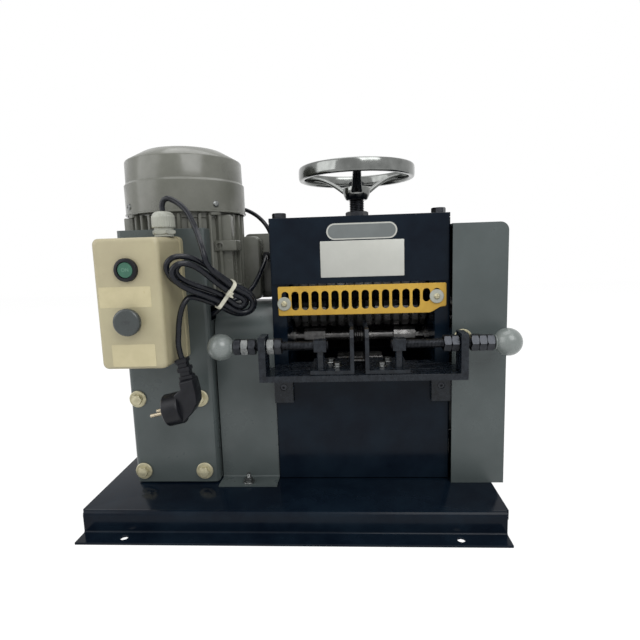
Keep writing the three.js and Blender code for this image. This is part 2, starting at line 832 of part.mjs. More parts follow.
// Two mounting pads and the flat strip between them, at one side of the motor's front
const mountingPads = (side) => {
  const [x0, x1] = ordered(motorX + side * motorPadInner, motorX + side * motorPadOuter);
  const stripOuter = motorPadOuter - motorPadHoleInset;
  const [s0, s1] = ordered(motorX + side * motorPadInner, motorX + side * stripOuter);
  const low = motorBodyLow + motorPadLift;
  const rearY = driveY - motorPadRear;
  const pad = (z) => block(x0, x1, driveY - motorPadFront, rearY, z, z + motorPadHeight);
  const strip = block(s0, s1, driveY - motorPadStripDepth, rearY, low, low + motorPadSpacing);
  return [pad(low), pad(low + motorPadSpacing), strip];
};

const finnedOutline = () => {
  const pitch = fullTurn / motorFins;
  const corners = [];
  for (let k = 0; k < motorFins; k += 1) {
    const at = (radius, share) => {
      const angle = pitch * (k + share / 2);
      return [motorX + radius * Math.cos(angle), driveY + radius * Math.sin(angle)];
    };
    corners.push(at(motorRootRadius, -motorFinRootShare), at(motorFinRadius, -motorFinTipShare));
    corners.push(at(motorFinRadius, motorFinTipShare), at(motorRootRadius, motorFinRootShare));
  }
  return polygon(corners);
};

const motorHousing = () => {
  const body = alongZ(finnedOutline(), motorBodyLow - overrun / 2, motorShieldLow + overrun / 2);
  const flange = rodZ(motorX, driveY, motorLow, motorBodyLow, motorFlangeRadius, coverSides);
  const shield = rodZ(motorX, driveY, motorShieldLow, motorTop, motorShieldRadius, coverSides);
  const lugs = Array.from({ length: motorLugs }, (_, k) => {
    const lug = new THREE.BoxGeometry(motorLugReach - motorLugInner, motorLugWidth, motorLugHeight + overrun);
    lug.translate((motorLugReach + motorLugInner) / 2, 0, motorTop + (motorLugHeight - overrun) / 2);
    lug.rotateZ(fullTurn * (k + 1 / 2) / motorLugs);
    return solidOf(lug.translate(motorX, driveY, 0));
  });
  const padHoles = [-1, 1].map((side) => {
    const x = motorX + side * (motorPadInner + motorPadHoleInset);
    const y = driveY - motorPadFront;
    const z = motorBodyLow + motorPadLift + motorPadSpacing + motorPadHeight / 2;
    return rodY(x, y - overrun, y + motorPadHoleDepth, z, motorPadHoleRadius, boltSides);
  });
  const entry = rodY(
    motorX, driveY, driveY + motorEntryReach, motorTop - motorEntryDrop, motorEntryRadius, boltSides,
  );
  const cavityLow = motorBodyLow + rotorLift;
  const cavity = rodZ(
    motorX, driveY, cavityLow - gap, cavityLow + rotorLength + gap, rotorRadius + gap, coverSides,
  );
  const shaftBore = rodZ(
    motorX, driveY, motorLow - overrun, motorTop + overrun, rotorShaftRadius + gap, wheelSides,
  );
  const pads = [...mountingPads(-1), ...mountingPads(1)];
  return carve(fuse(body, flange, shield, ...lugs, ...pads, entry), cavity, shaftBore, ...padHoles);
};

const motorRotor = () => {
  const low = inputTop - gearboxInputDepth + gap;
  const coreLow = motorBodyLow + rotorLift;
  const coreHigh = coreLow + rotorLength;
  return turnedZ(motorX, driveY, [
    [0, low], [rotorShaftRadius, low], [rotorShaftRadius, coreLow], [rotorRadius, coreLow],
    [rotorRadius, coreHigh], [rotorShaftRadius, coreHigh], [rotorShaftRadius, fanLow + fanHeight],
    [0, fanLow + fanHeight],
  ], wheelSides);
};

const coolingFan = () => {
  const bladeInner = rotorShaftRadius + overrun;
  const blades = Array.from({ length: fanBlades }, (_, k) => {
    const blade = new THREE.BoxGeometry(fanRadius - bladeInner, fanBladeThickness, fanHeight);
    blade.translate((fanRadius + bladeInner) / 2, 0, fanLow + fanHeight / 2);
    return solidOf(blade.rotateZ(fullTurn * k / fanBlades).translate(motorX, driveY, 0));
  });
  const hub = rodZ(motorX, driveY, fanLow, fanLow + fanHeight, fanHubRadius, wheelSides);
  const disc = rodZ(motorX, driveY, fanLow, fanLow + fanDiscThickness, fanDiscRadius, wheelSides);
  const bore = rodZ(
    motorX, driveY, fanLow - overrun, fanLow + fanHeight + overrun, rotorShaftRadius + gap, wheelSides,
  );
  return carve(fuse(hub, disc, ...blades), bore);
};

const fanCover = () => {
  const stepZ = fanCoverLow + fanCoverStep;
  const crown = fanCoverTop - fanCoverCrown;
  const outline = (inward) => {
    const outer = fanCoverRadius - inward;
    const upper = outer - fanCoverStepDepth;
    const rise = fanCoverCrown - inward;
    return [
      [outer, fanCoverLow], [outer, stepZ], [upper, stepZ + fanCoverStepHeight], [upper, crown],
      ...fanCoverCrownShares.map(([across, high]) =>
        [upper - fanCoverCrownInset * across, crown + rise * high]),
      [upper - fanCoverCrownInset, crown + rise], [0, crown + rise],
    ];
  };
  const profile = [...outline(0), ...outline(fanCoverSheet).reverse()];
  profile.push(profile[0]);
  const skin = turnedZ(motorX, driveY, profile, coverSides);
  const slots = Array.from({ length: fanCoverSlots }, (_, k) => {
    const slot = new THREE.BoxGeometry(
      fanCoverSlotOuter - fanCoverSlotInner, fanCoverSlotWidth, fanCoverSheet + 2 * overrun,
    );
    slot.translate((fanCoverSlotOuter + fanCoverSlotInner) / 2, 0, fanCoverTop - fanCoverSheet / 2);
    return solidOf(slot.rotateZ(fullTurn * k / fanCoverSlots).translate(motorX, driveY, 0));
  });
  return carve(skin, ...slots);
};

const terminalBox = () => {
  const low = inputTop;
  const left = motorX + terminalLeftReach;
  const backY = driveY + terminalPlateBack;
  const box = roundedRectangle(left, motorX + terminalRightReach, low, low + terminalHeight, terminalCorner);
  const plate = roundedRectangle(
    left, motorX + terminalPlateReach, low, low + terminalPlateHeight, terminalCorner,
  );
  const body = fuse(
    alongY(box, driveY + terminalFrontReach, backY + overrun / 2),
    alongY(plate, backY, backY + terminalPlateThickness),
  );
  return carve(body, rodZ(
    motorX, driveY, low - overrun, low + terminalPlateHeight + overrun, motorFinRadius + gap, 2 * coverSides,
  ));
};

const terminalGland = () => {
  const backY = driveY + terminalPlateBack - gap;
  return fuse(
    rodY(glandX, backY - glandNeck, backY, glandZ, glandNeckRadius, boltSides),
    rodY(glandX, backY - glandNeck - glandHex, backY - glandNeck + overrun, glandZ, glandHexRadius, hexSides),
  );
};

// Starter box
const starterRing = (y, inset, radius) => {
  const shape = roundedRectangle(
    starterLeft + inset, starterRight - inset, starterLow + inset, starterTop - inset, radius,
  );
  return shape.getPoints(arcSteps).map((point) => new THREE.Vector3(point.x, y, point.y));
};

const starterLidRings = (wall) => {
  const radius = starterCorner - wall;
  const face = starterFront + wall;
  const side = starterDraft + wall;
  return [
    starterRing(lidBack + (wall > 0 ? overrun : 0), wall, radius),
    starterRing(face + starterRound, side, radius),
    starterRing(face + starterBevel, side + starterBevel, radius),
    starterRing(face, side + starterRound, radius),
  ];
};

const starterCover = () => {
  const holeRadius = bezelTubeRadius + buttonClearance;
  const holes = [startZ, stopZ].map((z) => rodY(
    buttonX, starterFront - overrun, starterFront + starterWall + overrun, z, holeRadius, wheelSides,
  ));
  return carve(loft(starterLidRings(0)), loft(starterLidRings(starterWall)), ...holes);
};

const starterBox = () => {
  const low = starterLow - starterTrayRim;
  const high = starterTop + starterTrayRim;
  const left = starterLeft - starterTrayRim;
  const right = starterRight + starterTrayRim;
  const wall = starterWall;
  const outer = roundedRectangle(left, right, low, high, starterCorner);
  const inner = roundedRectangle(left + wall, right - wall, low + wall, high - wall, starterCorner - wall);
  return carve(
    alongY(outer, starterBack - starterTray, starterBack),
    alongY(inner, starterBack - starterTray - overrun, starterBack - wall), leadHole(),
  );
};

// The buttons are turned about Y with the lid's face at Y 0, and placed there
const buttonBezel = () => {
  const bore = bezelTubeRadius - bezelWall;
  return turnedY(0, 0, [
    [bore, -bezelProud], [bezelRadius - bezelWall, -bezelProud], [bezelRadius, -bezelProud + bezelWall],
    [bezelRadius, -gap], [bezelTubeRadius, -gap], [bezelTubeRadius, bezelTubeDepth], [bore, bezelTubeDepth],
    [bore, -bezelProud],
  ], wheelSides);
};

const startButton = () => {
  const radius = bezelTubeRadius - bezelWall - gap;
  const face = startCapInset - bezelProud;
  return rodY(0, face, face + startCapLength, 0, radius, wheelSides);
};

const stopButton = () => {
  const back = -stopHeadClear;
  const face = back - stopHeadThickness;
  const stemEnd = back + stopStemLength;
  return turnedY(0, 0, [
    [0, face], [stopHeadRadius - stopHeadRound, face], [stopHeadRadius, face + stopHeadRound],
    [stopHeadRadius, back], [bezelTubeRadius, back], [bezelTubeRadius, stemEnd], [0, stemEnd],
  ], wheelSides);
};

const starterGland = () => {
  const x = starterRight - starterGlandSide;
  const y = starterFront + starterGlandFront;
  const neckLow = starterTop + gap;
  const hexLow = neckLow + starterGlandNeck;
  const hexTop = hexLow + starterGlandHex;
  return fuse(
    rodZ(x, y, neckLow, hexLow + overrun / 2, starterGlandNeckRadius, wheelSides),
    rodZ(x, y, hexLow, hexTop, starterGlandHexRadius, hexSides),
    turnedZ(x, y, [
      [0, hexTop - overrun / 2], [starterGlandNeckRadius, hexTop - overrun / 2],
      [starterGlandNeckRadius, hexTop], [starterGlandTopRadius, hexTop + starterGlandTop],
      [0, hexTop + starterGlandTop],
    ], wheelSides),
  );
};

// Head: the bolt in each plate's top edge stands as far in from the plate's outer face
const topBoltX = (x0) => (x0 < headX ? x0 + topBoltInset : x0 + plateThickness - topBoltInset);

const sidePlate = (x0) => {
  const x1 = x0 + plateThickness;
  const slotFront = driveY - carriageHalf - gap;
  const slotRear = driveY + carriageHalf + gap;
  const shape = polygon([
    [headFront, seatZ], [headRear, seatZ], [headRear, plateTop], [slotRear, plateTop],
    [slotRear, carriageLow - gap], [slotFront, carriageLow - gap], [slotFront, plateTop], [headFront, plateTop],
  ]);
  const bores = [feedZ, slittingZ, groovedZ].map((z) => rodX(
    x0 - overrun, x1 + overrun, driveY, z, bearingRadius + bearingClearance, wheelSides,
  ));
  const boltHole = rodZ(
    topBoltX(x0), headFront + topBoltFront, plateTop - topBoltShank, plateTop + overrun,
    topBoltRadius + gap, boltSides,
  );
  return carve(alongX(shape, x0, x1), ...bores, boltHole);
};

// The right plate also carries an ear behind the gear cover, for the cover's bolt
const rightSidePlate = () => {
  const root = headRight - overrun / 2;
  const y0 = gearCoverFrontY + gearCoverSheet + gap;
  const y1 = y0 + gearCoverEarThickness;
  const z0 = gearCoverBoltZ - gearCoverEarHalf;
  const z1 = gearCoverBoltZ + gearCoverEarHalf;
  const ear = block(root, headRight + gearCoverEarLength, y0, y1, z0, z1);
  const web = block(root, headRight + gearCoverEarWeb, y0, y1 + gearCoverEarRoot, z0, z1);
  const hole = rodY(gearCoverBoltX, y0 - overrun, y1 + overrun, gearCoverBoltZ, boltRadius + gap, boltSides);
  return carve(fuse(sidePlate(laneRight), ear, web), hole);
};

const topPlate = () => {
  const hole = (x, y, radius) => rodZ(x, y, topPlateLow - overrun, headTop + overrun, radius, wheelSides);
  const boltHoles = [headLeft, laneRight].map((x0) =>
    hole(topBoltX(x0), headFront + topBoltFront, topBoltRadius + gap));
  const screwHole = hole(headX, driveY, screwRadius + 2 * gap);
  return carve(block(headLeft, headRight, headFront, headRear, topPlateLow, headTop), ...boltHoles, screwHole);
};

const topBolt = () => fuse(
  rodZ(0, 0, 0, topBoltHeadHeight, topBoltHeadRadius, hexSides),
  rodZ(0, 0, gap - topBoltShank, topBoltHeadHeight / 2, topBoltRadius, boltSides),
);

const panelLeft = headLeft + coverInset;
const panelRight = headRight - coverInset;
const headFrontCover = () => {
  const lipTop = frontCoverLow + frontCoverSheet;
  return fuse(
    block(panelLeft, panelRight, panelFront, panelRear, frontCoverLow, frontCoverTop),
    block(laneLeft + gap, laneRight - gap, panelFront + gap, panelRear + frontCoverLip, frontCoverLow, lipTop),
  );
};

const lowerFrontPanel = () => {
  const low = seatZ + lowerPanelLift;
  return block(panelLeft, panelRight, panelFront, panelRear, low, low + lowerPanelHeight);
};

const headRearCover = () => {
  const low = seatZ + lowerPanelLift;
  const outer = polygon([[headLeft, low], [headRight, low], [headRight, plateTop], [headLeft, plateTop]]);
  const exitLeft = headX - exitHalfWidth;
  const exitRight = headX + exitHalfWidth;
  outer.holes.push(polygon([
    [exitLeft, baseHeight + exitLow], [exitLeft, baseHeight + exitHigh],
    [exitRight, baseHeight + exitHigh], [exitRight, baseHeight + exitLow],
  ]));
  return alongY(outer, headRear + gap, headRear + gap + rearCoverSheet);
};

const slotPlate = () => {
  const left = slotPlateX - slotPlateHalf;
  const right = slotPlateX + slotPlateHalf;
  const top = slotPlateTop;
  const low = slotPlateLow;
  const corner = slotPlateCorner;
  const shape = new THREE.Shape();
  shape.absarc(left + corner, low + corner, corner, Math.PI, Math.PI * 1.5);
  shape.lineTo(right - slotPlateNotch, low);
  shape.quadraticCurveTo(right - slotPlateNotch / 2, low + slotPlateNotchRise, right, low + slotPlateNotchRise);
  shape.absarc(right - corner, top - corner, corner, 0, Math.PI / 2);
  shape.absarc(left + corner, top - corner, corner, Math.PI / 2, Math.PI);
  const high = top - slotTopRoom;
  for (let k = 0; k < slotTallCount + slotShortCount; k += 1) {
    const tall = k < slotTallCount ? slotTall : slotShort;
    shape.holes.push(slotHole(slotX(k), high - tall, high, slotWidth));
  }
  return alongY(shape, panelRear - slotPlateSheet, panelRear);
};

const tableOutline = () => {
  const innerRear = headFront + tableTongue;
  const shoulder = gearCoverFrontY - gap;
  return polygon([
    [headX - tableHalf, tableFront], [headX + tableHalf, tableFront], [headX + tableHalf, shoulder],
    [headX + tableRearHalf, shoulder], [headX + tableRearHalf, tableRear], [laneRight - gap, tableRear],
    [laneRight - gap, innerRear], [laneLeft + gap, innerRear], [laneLeft + gap, tableRear],
    [headX - tableRearHalf, tableRear], [headX - tableRearHalf, shoulder], [headX - tableHalf, shoulder],
  ]);
};

const tableSlots = (side) => {
  const [x0, x1] = ordered(headX + side * tableSlotInner, headX + side * tableSlotOuter);
  return [0, tableSlotSpacing].map((behind) => {
    const y = tableFront + tableSlotFront + behind;
    return block(
      x0, x1, y - tableSlotWidth / 2, y + tableSlotWidth / 2, tableLow - overrun, tableTop + overrun,
    );
  });
};

const guideTable = () => {
  const pieces = [alongZ(tableOutline(), tableLow, tableTop)];
  const holes = [];
  const tabRear = panelFront - gap;
  const tabFront = tabRear - tableTabThickness;
  const lugTop = tableTop + tableLugHeight;
  for (const side of [-1, 1]) {
    const [l0, l1] = ordered(headX + side * (tableHalf - tableLugThickness), headX + side * tableHalf);
    pieces.push(block(l0, l1, tableFront, tableFront + tableLugDepth, tableLow, lugTop));
    holes.push(rodX(l0 - overrun, l1 + overrun, leadY, leadZ, leadBoreRadius, boltSides));
    holes.push(...tableSlots(side));
    const [t0, t1] = ordered(headX + side * (headHalfWidth - tableTabWidth), headX + side * headHalfWidth);
    pieces.push(block(t0, t1, tabFront, tabRear, tableLow - tableTabDrop, tableLow + overrun / 2));
    holes.push(rodY(
      (t0 + t1) / 2, tabFront - overrun, tabRear + overrun, tableLow - tableTabHoleDrop,
      tableTabHoleRadius, boltSides,
    ));
  }
  return carve(fuse(...pieces), ...holes);
};

// A guide: side 1 stands right of the channel, and side -1 left of it
const guide = (side) => {
  const faceX = guideX + side * guideChannel / 2;
  const across = (near, far) => ordered(faceX + side * near, faceX + side * far);
  const y0 = tableFront + guideInset;
  const y1 = y0 + guideDepth;
  const top = guideLow + guideHeight;
  const wall = polygon([
    [y0, guideLow], [y1, guideLow], [y1, top - guideChamfer], [y1 - guideChamfer, top],
    [y0 + guideChamfer, top], [y0, top - guideChamfer],
  ]);
  const [b0, b1] = across(screwBlockInset, screwBlockInset + screwBlockWidth);
  const blockLow = leadZ - screwBlockHeight / 2;
  const halfDepth = screwBlockWidth / 2;
  const solid = fuse(
    alongX(wall, ...across(0, guideSheet)),
    block(...across(0, guideFoot), y0, y0 + guideFootDepth, guideLow, guideLow + guideSheet),
    block(b0, b1, leadY - halfDepth, leadY + halfDepth, blockLow, blockLow + screwBlockHeight),
    rodZ((b0 + b1) / 2, leadY, guideLow + guideSheet / 2, blockLow + overrun, screwPostRadius, boltSides),
  );
  return carve(solid, rodX(b0 - overrun, b1 + overrun, leadY, leadZ, leadBoreRadius, boltSides));
};

// A lead screw with its nuts, and the ball knob on its end
const lugOuterX = (side) => headX + side * tableHalf;
const lugInnerX = (side) => headX + side * (tableHalf - tableLugThickness);
const nutPitch = nutThickness + nutSpacing;
const nutStack = outerNutGap + outerNuts * nutPitch;
const knobNear = (side) => lugOuterX(side) + side * (nutStack + knobSpacing);

const leadScrew = (side) => {
  const inner = guideX + side * (guideChannel / 2 + leadEndInset);
  const [x0, x1] = ordered(inner, knobNear(side) + side * (knobSocket - gap));
  const nutAt = (near) => rodX(...ordered(near, near + side * nutThickness), leadY, leadZ, nutRadius, hexSides);
  const nuts = [];
  for (let k = 0; k < outerNuts; k += 1) {
    nuts.push(nutAt(lugOuterX(side) + side * (outerNutGap + k * nutPitch)));
  }
  for (let k = 0; k < innerNuts; k += 1) {
    nuts.push(nutAt(lugInnerX(side) - side * (innerNutGap + nutThickness + k * nutPitch)));
  }
  return fuse(rodX(x0, x1, leadY, leadZ, leadRadius, boltSides), ...nuts);
};

const ballKnob = (side) => {
  const near = knobNear(side);
  const middle = near + side * (knobRadius - knobSpacing);
  const ball = new THREE.SphereGeometry(knobRadius, wheelSides, boltSides);
  const sphere = solidOf(ball.rotateX(Math.PI / 2).translate(middle, leadY, leadZ));
  const neck = rodX(...ordered(near, middle), leadY, leadZ, knobNeckRadius, boltSides);
  const [s0, s1] = ordered(near - side * knobRadius, near + side * knobSocket);
  return carve(fuse(sphere, neck), rodX(s0, s1, leadY, leadZ, leadRadius + gap, boltSides));
};

// Rollers, drawn about X with their axis at Y 0 and Z 0, and placed on their shaft line
const shaftEnd = (plane) => gearPlane(plane) + gearWidth + shaftTip;
const shaftProfile = (start, middle, plane) => [
  [0, start], [bearingRadius, start], ...middle, [bearingRadius, gearPlane(0) - gap],
  [gearEndRadius, gearPlane(0) - gap], [gearEndRadius, shaftEnd(plane)], [0, shaftEnd(plane)],
];
const rollerLow = laneLeft + rollerEndRoom;
const rollerHigh = laneRight - rollerEndRoom;

const feedShaft = () => {
  const start = headLeft - couplingSetback - couplingSocket + gap;
  const corners = Array.from({ length: 2 * feedFlutes }, (_, k) => {
    const angle = Math.PI * k / feedFlutes;
    const radius = feedRollerRadius - (k % 2) * feedFluteDepth;
    return [radius * Math.cos(angle), radius * Math.sin(angle)];
  });
  return fuse(
    turnedX(0, 0, shaftProfile(start, [], 0), wheelSides),
    alongX(polygon(corners), headX - feedRollerHalf, headX + feedRollerHalf),
  );
};

const slittingShaft = () => {
  const collar = (x0, x1) =>
    [[slittingRadius, x0], [collarRadius, x0], [collarRadius, x1], [slittingRadius, x1]];
  const middle = [
    [bearingRadius, rollerLow], [slittingRadius, rollerLow],
    ...collar(headX - collarOuter, headX - collarInner), ...collar(headX + collarInner, headX + collarOuter),
    [slittingRadius, rollerHigh], [bearingRadius, rollerHigh],
  ];
  return turnedX(0, 0, shaftProfile(headLeft, middle, 1), wheelSides);
};

// Discs with sharp rims on a sleeve, one at each given place
const bladedSleeve = (low, high, bore, sleeve, tip, half, places, sides) => {
  const profile = [[bore, low], [sleeve, low]];
  for (const x of places) {
    profile.push([sleeve, x - half], [tip, x], [sleeve, x + half]);
  }
  profile.push([sleeve, high], [bore, high], [bore, low]);
  return turnedX(0, 0, profile, sides);
};

const slittingBladeSet = () => {
  const reach = (slittingBlades + 1) * slittingBladePitch / 2;
  const placeOf = (_, k) => guideX - reach + (k + 1) * slittingBladePitch;
  const places = Array.from({ length: slittingBlades }, placeOf);
  return bladedSleeve(
    guideX - reach, guideX + reach, slittingRadius + gap, slittingSleeveRadius, slittingBladeRadius,
    slittingBladeHalf, places, rodSides,
  );
};

const wireSlots = Array.from({ length: slotTallCount }, (_, k) => slotX(k + 1));
const groovedShaft = () => {
  const middle = [[bearingRadius, rollerLow], [groovedRadius, rollerLow]];
  for (const x of wireSlots) {
    middle.push([groovedRadius, x - grooveHalf], [groovedRadius - grooveDepth, x]);
    middle.push([groovedRadius, x + grooveHalf]);
  }
  middle.push([groovedRadius, rollerHigh], [bearingRadius, rollerHigh]);
  return turnedX(0, 0, shaftProfile(headLeft, middle, 2), rodSides);
};

const cutterShaft = () => turnedX(0, 0, shaftProfile(headLeft, [], 2), rodSides);
const cutterBladeSet = () => bladedSleeve(
  rollerLow, rollerHigh, bearingRadius + gap, cutterSleeveRadius, cutterBladeRadius, cutterBladeHalf,
  wireSlots, rodSides,
);

const driveCoupling = () => {
  const end = headLeft - couplingSetback;
  const start = end - couplingLength;
  const bore = bearingRadius + gap;
  return turnedX(0, 0, [
    [0, start - outputStub], [bearingRadius, start - outputStub], [bearingRadius, start],
    [couplingRadius - couplingBevel, start], [couplingRadius, start + couplingBevel],
    [couplingRadius, start + couplingHub], [couplingWaist, start + couplingHub + couplingBevel],
    [couplingWaist, end - couplingHub - couplingBevel], [couplingRadius, end - couplingHub],
    [couplingRadius, end - couplingBevel], [couplingRadius - couplingBevel, end],
    [bore, end], [bore, end - couplingSocket], [0, end - couplingSocket],
  ], wheelSides);
};

// Spur gears with involute flanks; turn is a share of one tooth's pitch
const gearOutline = (teeth, turn) => {
  const pitchRadius = gearModule * teeth / 2;
  const baseRadius = pitchRadius * Math.cos(radians(pressureAngle));
  const tipRadius = pitchRadius + addendumShare * gearModule;
  const rootRadius = pitchRadius - dedendumShare * gearModule;
  const involute = (radius) => {
    const angle = Math.acos(Math.min(baseRadius / radius, 1));
    return Math.tan(angle) - angle;
  };
  const halfAtPitch = Math.PI / (2 * teeth) - toothRelief / (2 * pitchRadius);
  const halfAt = (radius) => halfAtPitch + involute(pitchRadius) - involute(Math.max(radius, baseRadius));
  const start = Math.max(baseRadius, rootRadius);
  const rising = [rootRadius, ...flankShares.map((share) => start + (tipRadius - start) * share)];
  const falling = [...rising].reverse();
  const corners = [];
  for (let k = 0; k < teeth; k += 1) {
    const middle = Math.PI / 2 + fullTurn * (k + turn) / teeth;
    const at = (radius, side) => {
      const angle = middle + side * halfAt(radius);
      return [radius * Math.cos(angle), radius * Math.sin(angle)];
    };
    corners.push(...rising.map((radius) => at(radius, -1)), ...falling.map((radius) => at(radius, 1)));
  }
  return polygon(corners);
};

const gearAt = (plane, teeth, turn) =>
  alongX(gearOutline(teeth, turn), gearPlane(plane), gearPlane(plane) + gearWidth);
const gearBore = (plane) => rodX(
  gearPlane(0) - overrun, gearPlane(plane) + gearWidth + overrun, 0, 0, gearEndRadius + gap, wheelSides,
);
const gearNeck = (plane) => rodX(
  gearPlane(plane) + gearWidth / 2, gearPlane(plane + 1) + gearWidth / 2, 0, 0,
  narrowPitch / 2 - dedendumShare * gearModule, wheelSides,
);
const feedGear = () => carve(gearAt(0, feedTeeth, 0), gearBore(0));
const slittingGear = () => carve(
  fuse(gearAt(0, slittingTeeth, 1 / 2), gearNeck(0), gearAt(1, narrowTeeth, 0)), gearBore(1),
);
const groovedGear = () => carve(
  fuse(gearAt(1, narrowTeeth, 1 / 2), gearNeck(1), gearAt(2, wideTeeth, 0)), gearBore(2),
);
const cutterGear = () => carve(gearAt(2, wideTeeth, 1 / 2), gearBore(2));

const rollerCarriage = () => {
  const y0 = driveY - carriageHalf;
  const y1 = driveY + carriageHalf;
  const bearings = [[headLeft, laneLeft], [laneRight, headRight]].map(([x0, x1]) =>
    block(x0, x1, y0, y1, carriageLow, barTop));
  const bar = block(laneLeft - overrun, laneRight + overrun, y0, y1, barLow, barTop);
  const bores = rodX(
    headLeft - overrun, headRight + overrun, driveY, cutterZ, bearingRadius + bearingClearance, wheelSides,
  );
  const neckHole = rodZ(headX, driveY, barLow, barTop + overrun, screwNeckRadius + gap, wheelSides);
  const footTop = barLow + screwFoot + 2 * gap;
  const footHole = rodZ(headX, driveY, barLow - overrun, footTop, screwFootRadius + gap, wheelSides);
  return carve(fuse(...bearings, bar), bores, neckHole, footHole);
};

// The screw: a foot and a neck held by the carriage, the thread, and a neck that carries the wheel
const adjustingScrew = () => {
  const footLow = barLow + gap;
  const footTop = footLow + screwFoot;
  const tipLow = wheelLow + hubHeight + gap;
  return turnedZ(headX, driveY, [
    [0, footLow], [screwFootRadius, footLow], [screwFootRadius, footTop], [screwNeckRadius, footTop],
    [screwNeckRadius, barTop + gap], [screwRadius, barTop + gap], [screwRadius, wheelLow - gap],
    [screwNeckRadius, wheelLow - gap], [screwNeckRadius, tipLow], [screwRadius, tipLow],
    [screwRadius, tipLow + screwTip * screwTipShare], [screwRadius * screwTipShare, tipLow + screwTip],
    [0, tipLow + screwTip],
  ], wheelSides);
};

const screwBush = () => {
  const low = headTop + gap;
  const nutLow = low + bushFlange;
  const top = nutLow + bushNut;
  const body = fuse(
    rodZ(headX, driveY, low, nutLow, bushRadius, wheelSides),
    rodZ(headX, driveY, nutLow - overrun / 2, top, bushNutRadius, hexSides),
  );
  return carve(body, rodZ(headX, driveY, low - overrun, top + overrun, screwRadius + gap, wheelSides));
};

// The wheel, drawn about Z with its hub's foot at Z 0: a rim, a hub and arched spokes
const spoke = (turn) => {
  const inner = hubFootRadius - overrun;
  const outer = wheelRadius - rimWidth / 2;
  const low = hubHeight / 2;
  const rise = rimLift + rimHeight / 2 - low;
  const thick = spokeThickness / 2;
  const rings = Array.from({ length: spokeSteps + 1 }, (_, k) => {
    const share = k / spokeSteps;
    const radius = inner + (outer - inner) * share;
    const z = low + rise * Math.sin(share * Math.PI / 2);
    const half = spokeWidth * (1 - share * spokeTaperShare) / 2;
    const corners = [[-half, z - thick], [half, z - thick], [half, z + thick], [-half, z + thick]];
    return corners.map(([across, high]) =>
      new THREE.Vector3(radius, across, high).applyAxisAngle(toTop, turn));
  });
  return loft(rings);
};

const handwheel = () => {
  const inner = wheelRadius - rimWidth;
  const rimTop = rimLift + rimHeight;
  const rim = turnedZ(0, 0, [
    [inner, rimLift + rimRound], [inner + rimRound, rimLift], [wheelRadius - rimRound, rimLift],
    [wheelRadius, rimLift + rimRound], [wheelRadius, rimTop - rimRound], [wheelRadius - rimRound, rimTop],
    [inner + rimRound, rimTop], [inner, rimTop - rimRound], [inner, rimLift + rimRound],
  ], coverSides);
  const hub = turnedZ(0, 0, [
    [0, 0], [hubFootRadius, 0], [hubRadius, hubHeight / 2], [hubRadius, hubHeight], [0, hubHeight],
  ], wheelSides);
  const arms = Array.from({ length: spokes }, (_, k) => spoke(radians(spokeTurn) + fullTurn * k / spokes));
  const bore = rodZ(0, 0, -overrun, hubHeight + overrun, screwNeckRadius + gap, wheelSides);
  return carve(fuse(hub, rim, ...arms), bore);
};

// Sheet covers beside the head
const couplingCover = () => {
  const half = couplingCoverSheet / 2;
  const y0 = headFront + half;
  const y1 = driveY + couplingCoverRearReach - half;
  const low = seatZ + half;
  const top = seatZ + couplingCoverHeight - half;
  const outline = sheetOutline([
    [y0 - couplingCoverFoot, low, 0], [y0, low, couplingCoverFootBend], [y0, top, couplingCoverBend],
    [y1, top, couplingCoverBend], [y1, low, couplingCoverFootBend], [y1 + couplingCoverFoot, low, 0],
  ], couplingCoverSheet);
  return alongX(outline, headLeft - couplingCoverReach, headLeft - gap);
};

const gearCover = () => {
  const left = headRight + gap;
  const outline = (inward, open) => {
    const right = left + gearCoverReach - inward;
    const top = gearCoverTop - inward;
    const radius = gearCoverCorner - inward;
    const shape = new THREE.Shape();
    shape.moveTo(left - open, seatZ - open);
    shape.lineTo(right, seatZ - open);
    shape.absarc(right - radius, top - radius, radius, 0, Math.PI / 2);
    shape.lineTo(left - open, top);
    return shape;
  };
  const y0 = gearCoverFrontY - overrun;
  const y1 = gearCoverFrontY + gearCoverSheet + overrun;
  const slotEnd = left + gearCoverSlotReach;
  const slot = fuse(
    block(left - overrun, slotEnd, y0, y1, gearCoverBoltZ - gearCoverSlotHalf, gearCoverBoltZ + gearCoverSlotHalf),
    rodY(slotEnd, y0, y1, gearCoverBoltZ, gearCoverSlotHalf, boltSides),
  );
  return carve(
    alongY(outline(0, 0), gearCoverFrontY, gearCoverRearY),
    alongY(outline(gearCoverSheet, overrun), gearCoverFrontY + gearCoverSheet, gearCoverRearY - gearCoverSheet),
    slot,
  );
};

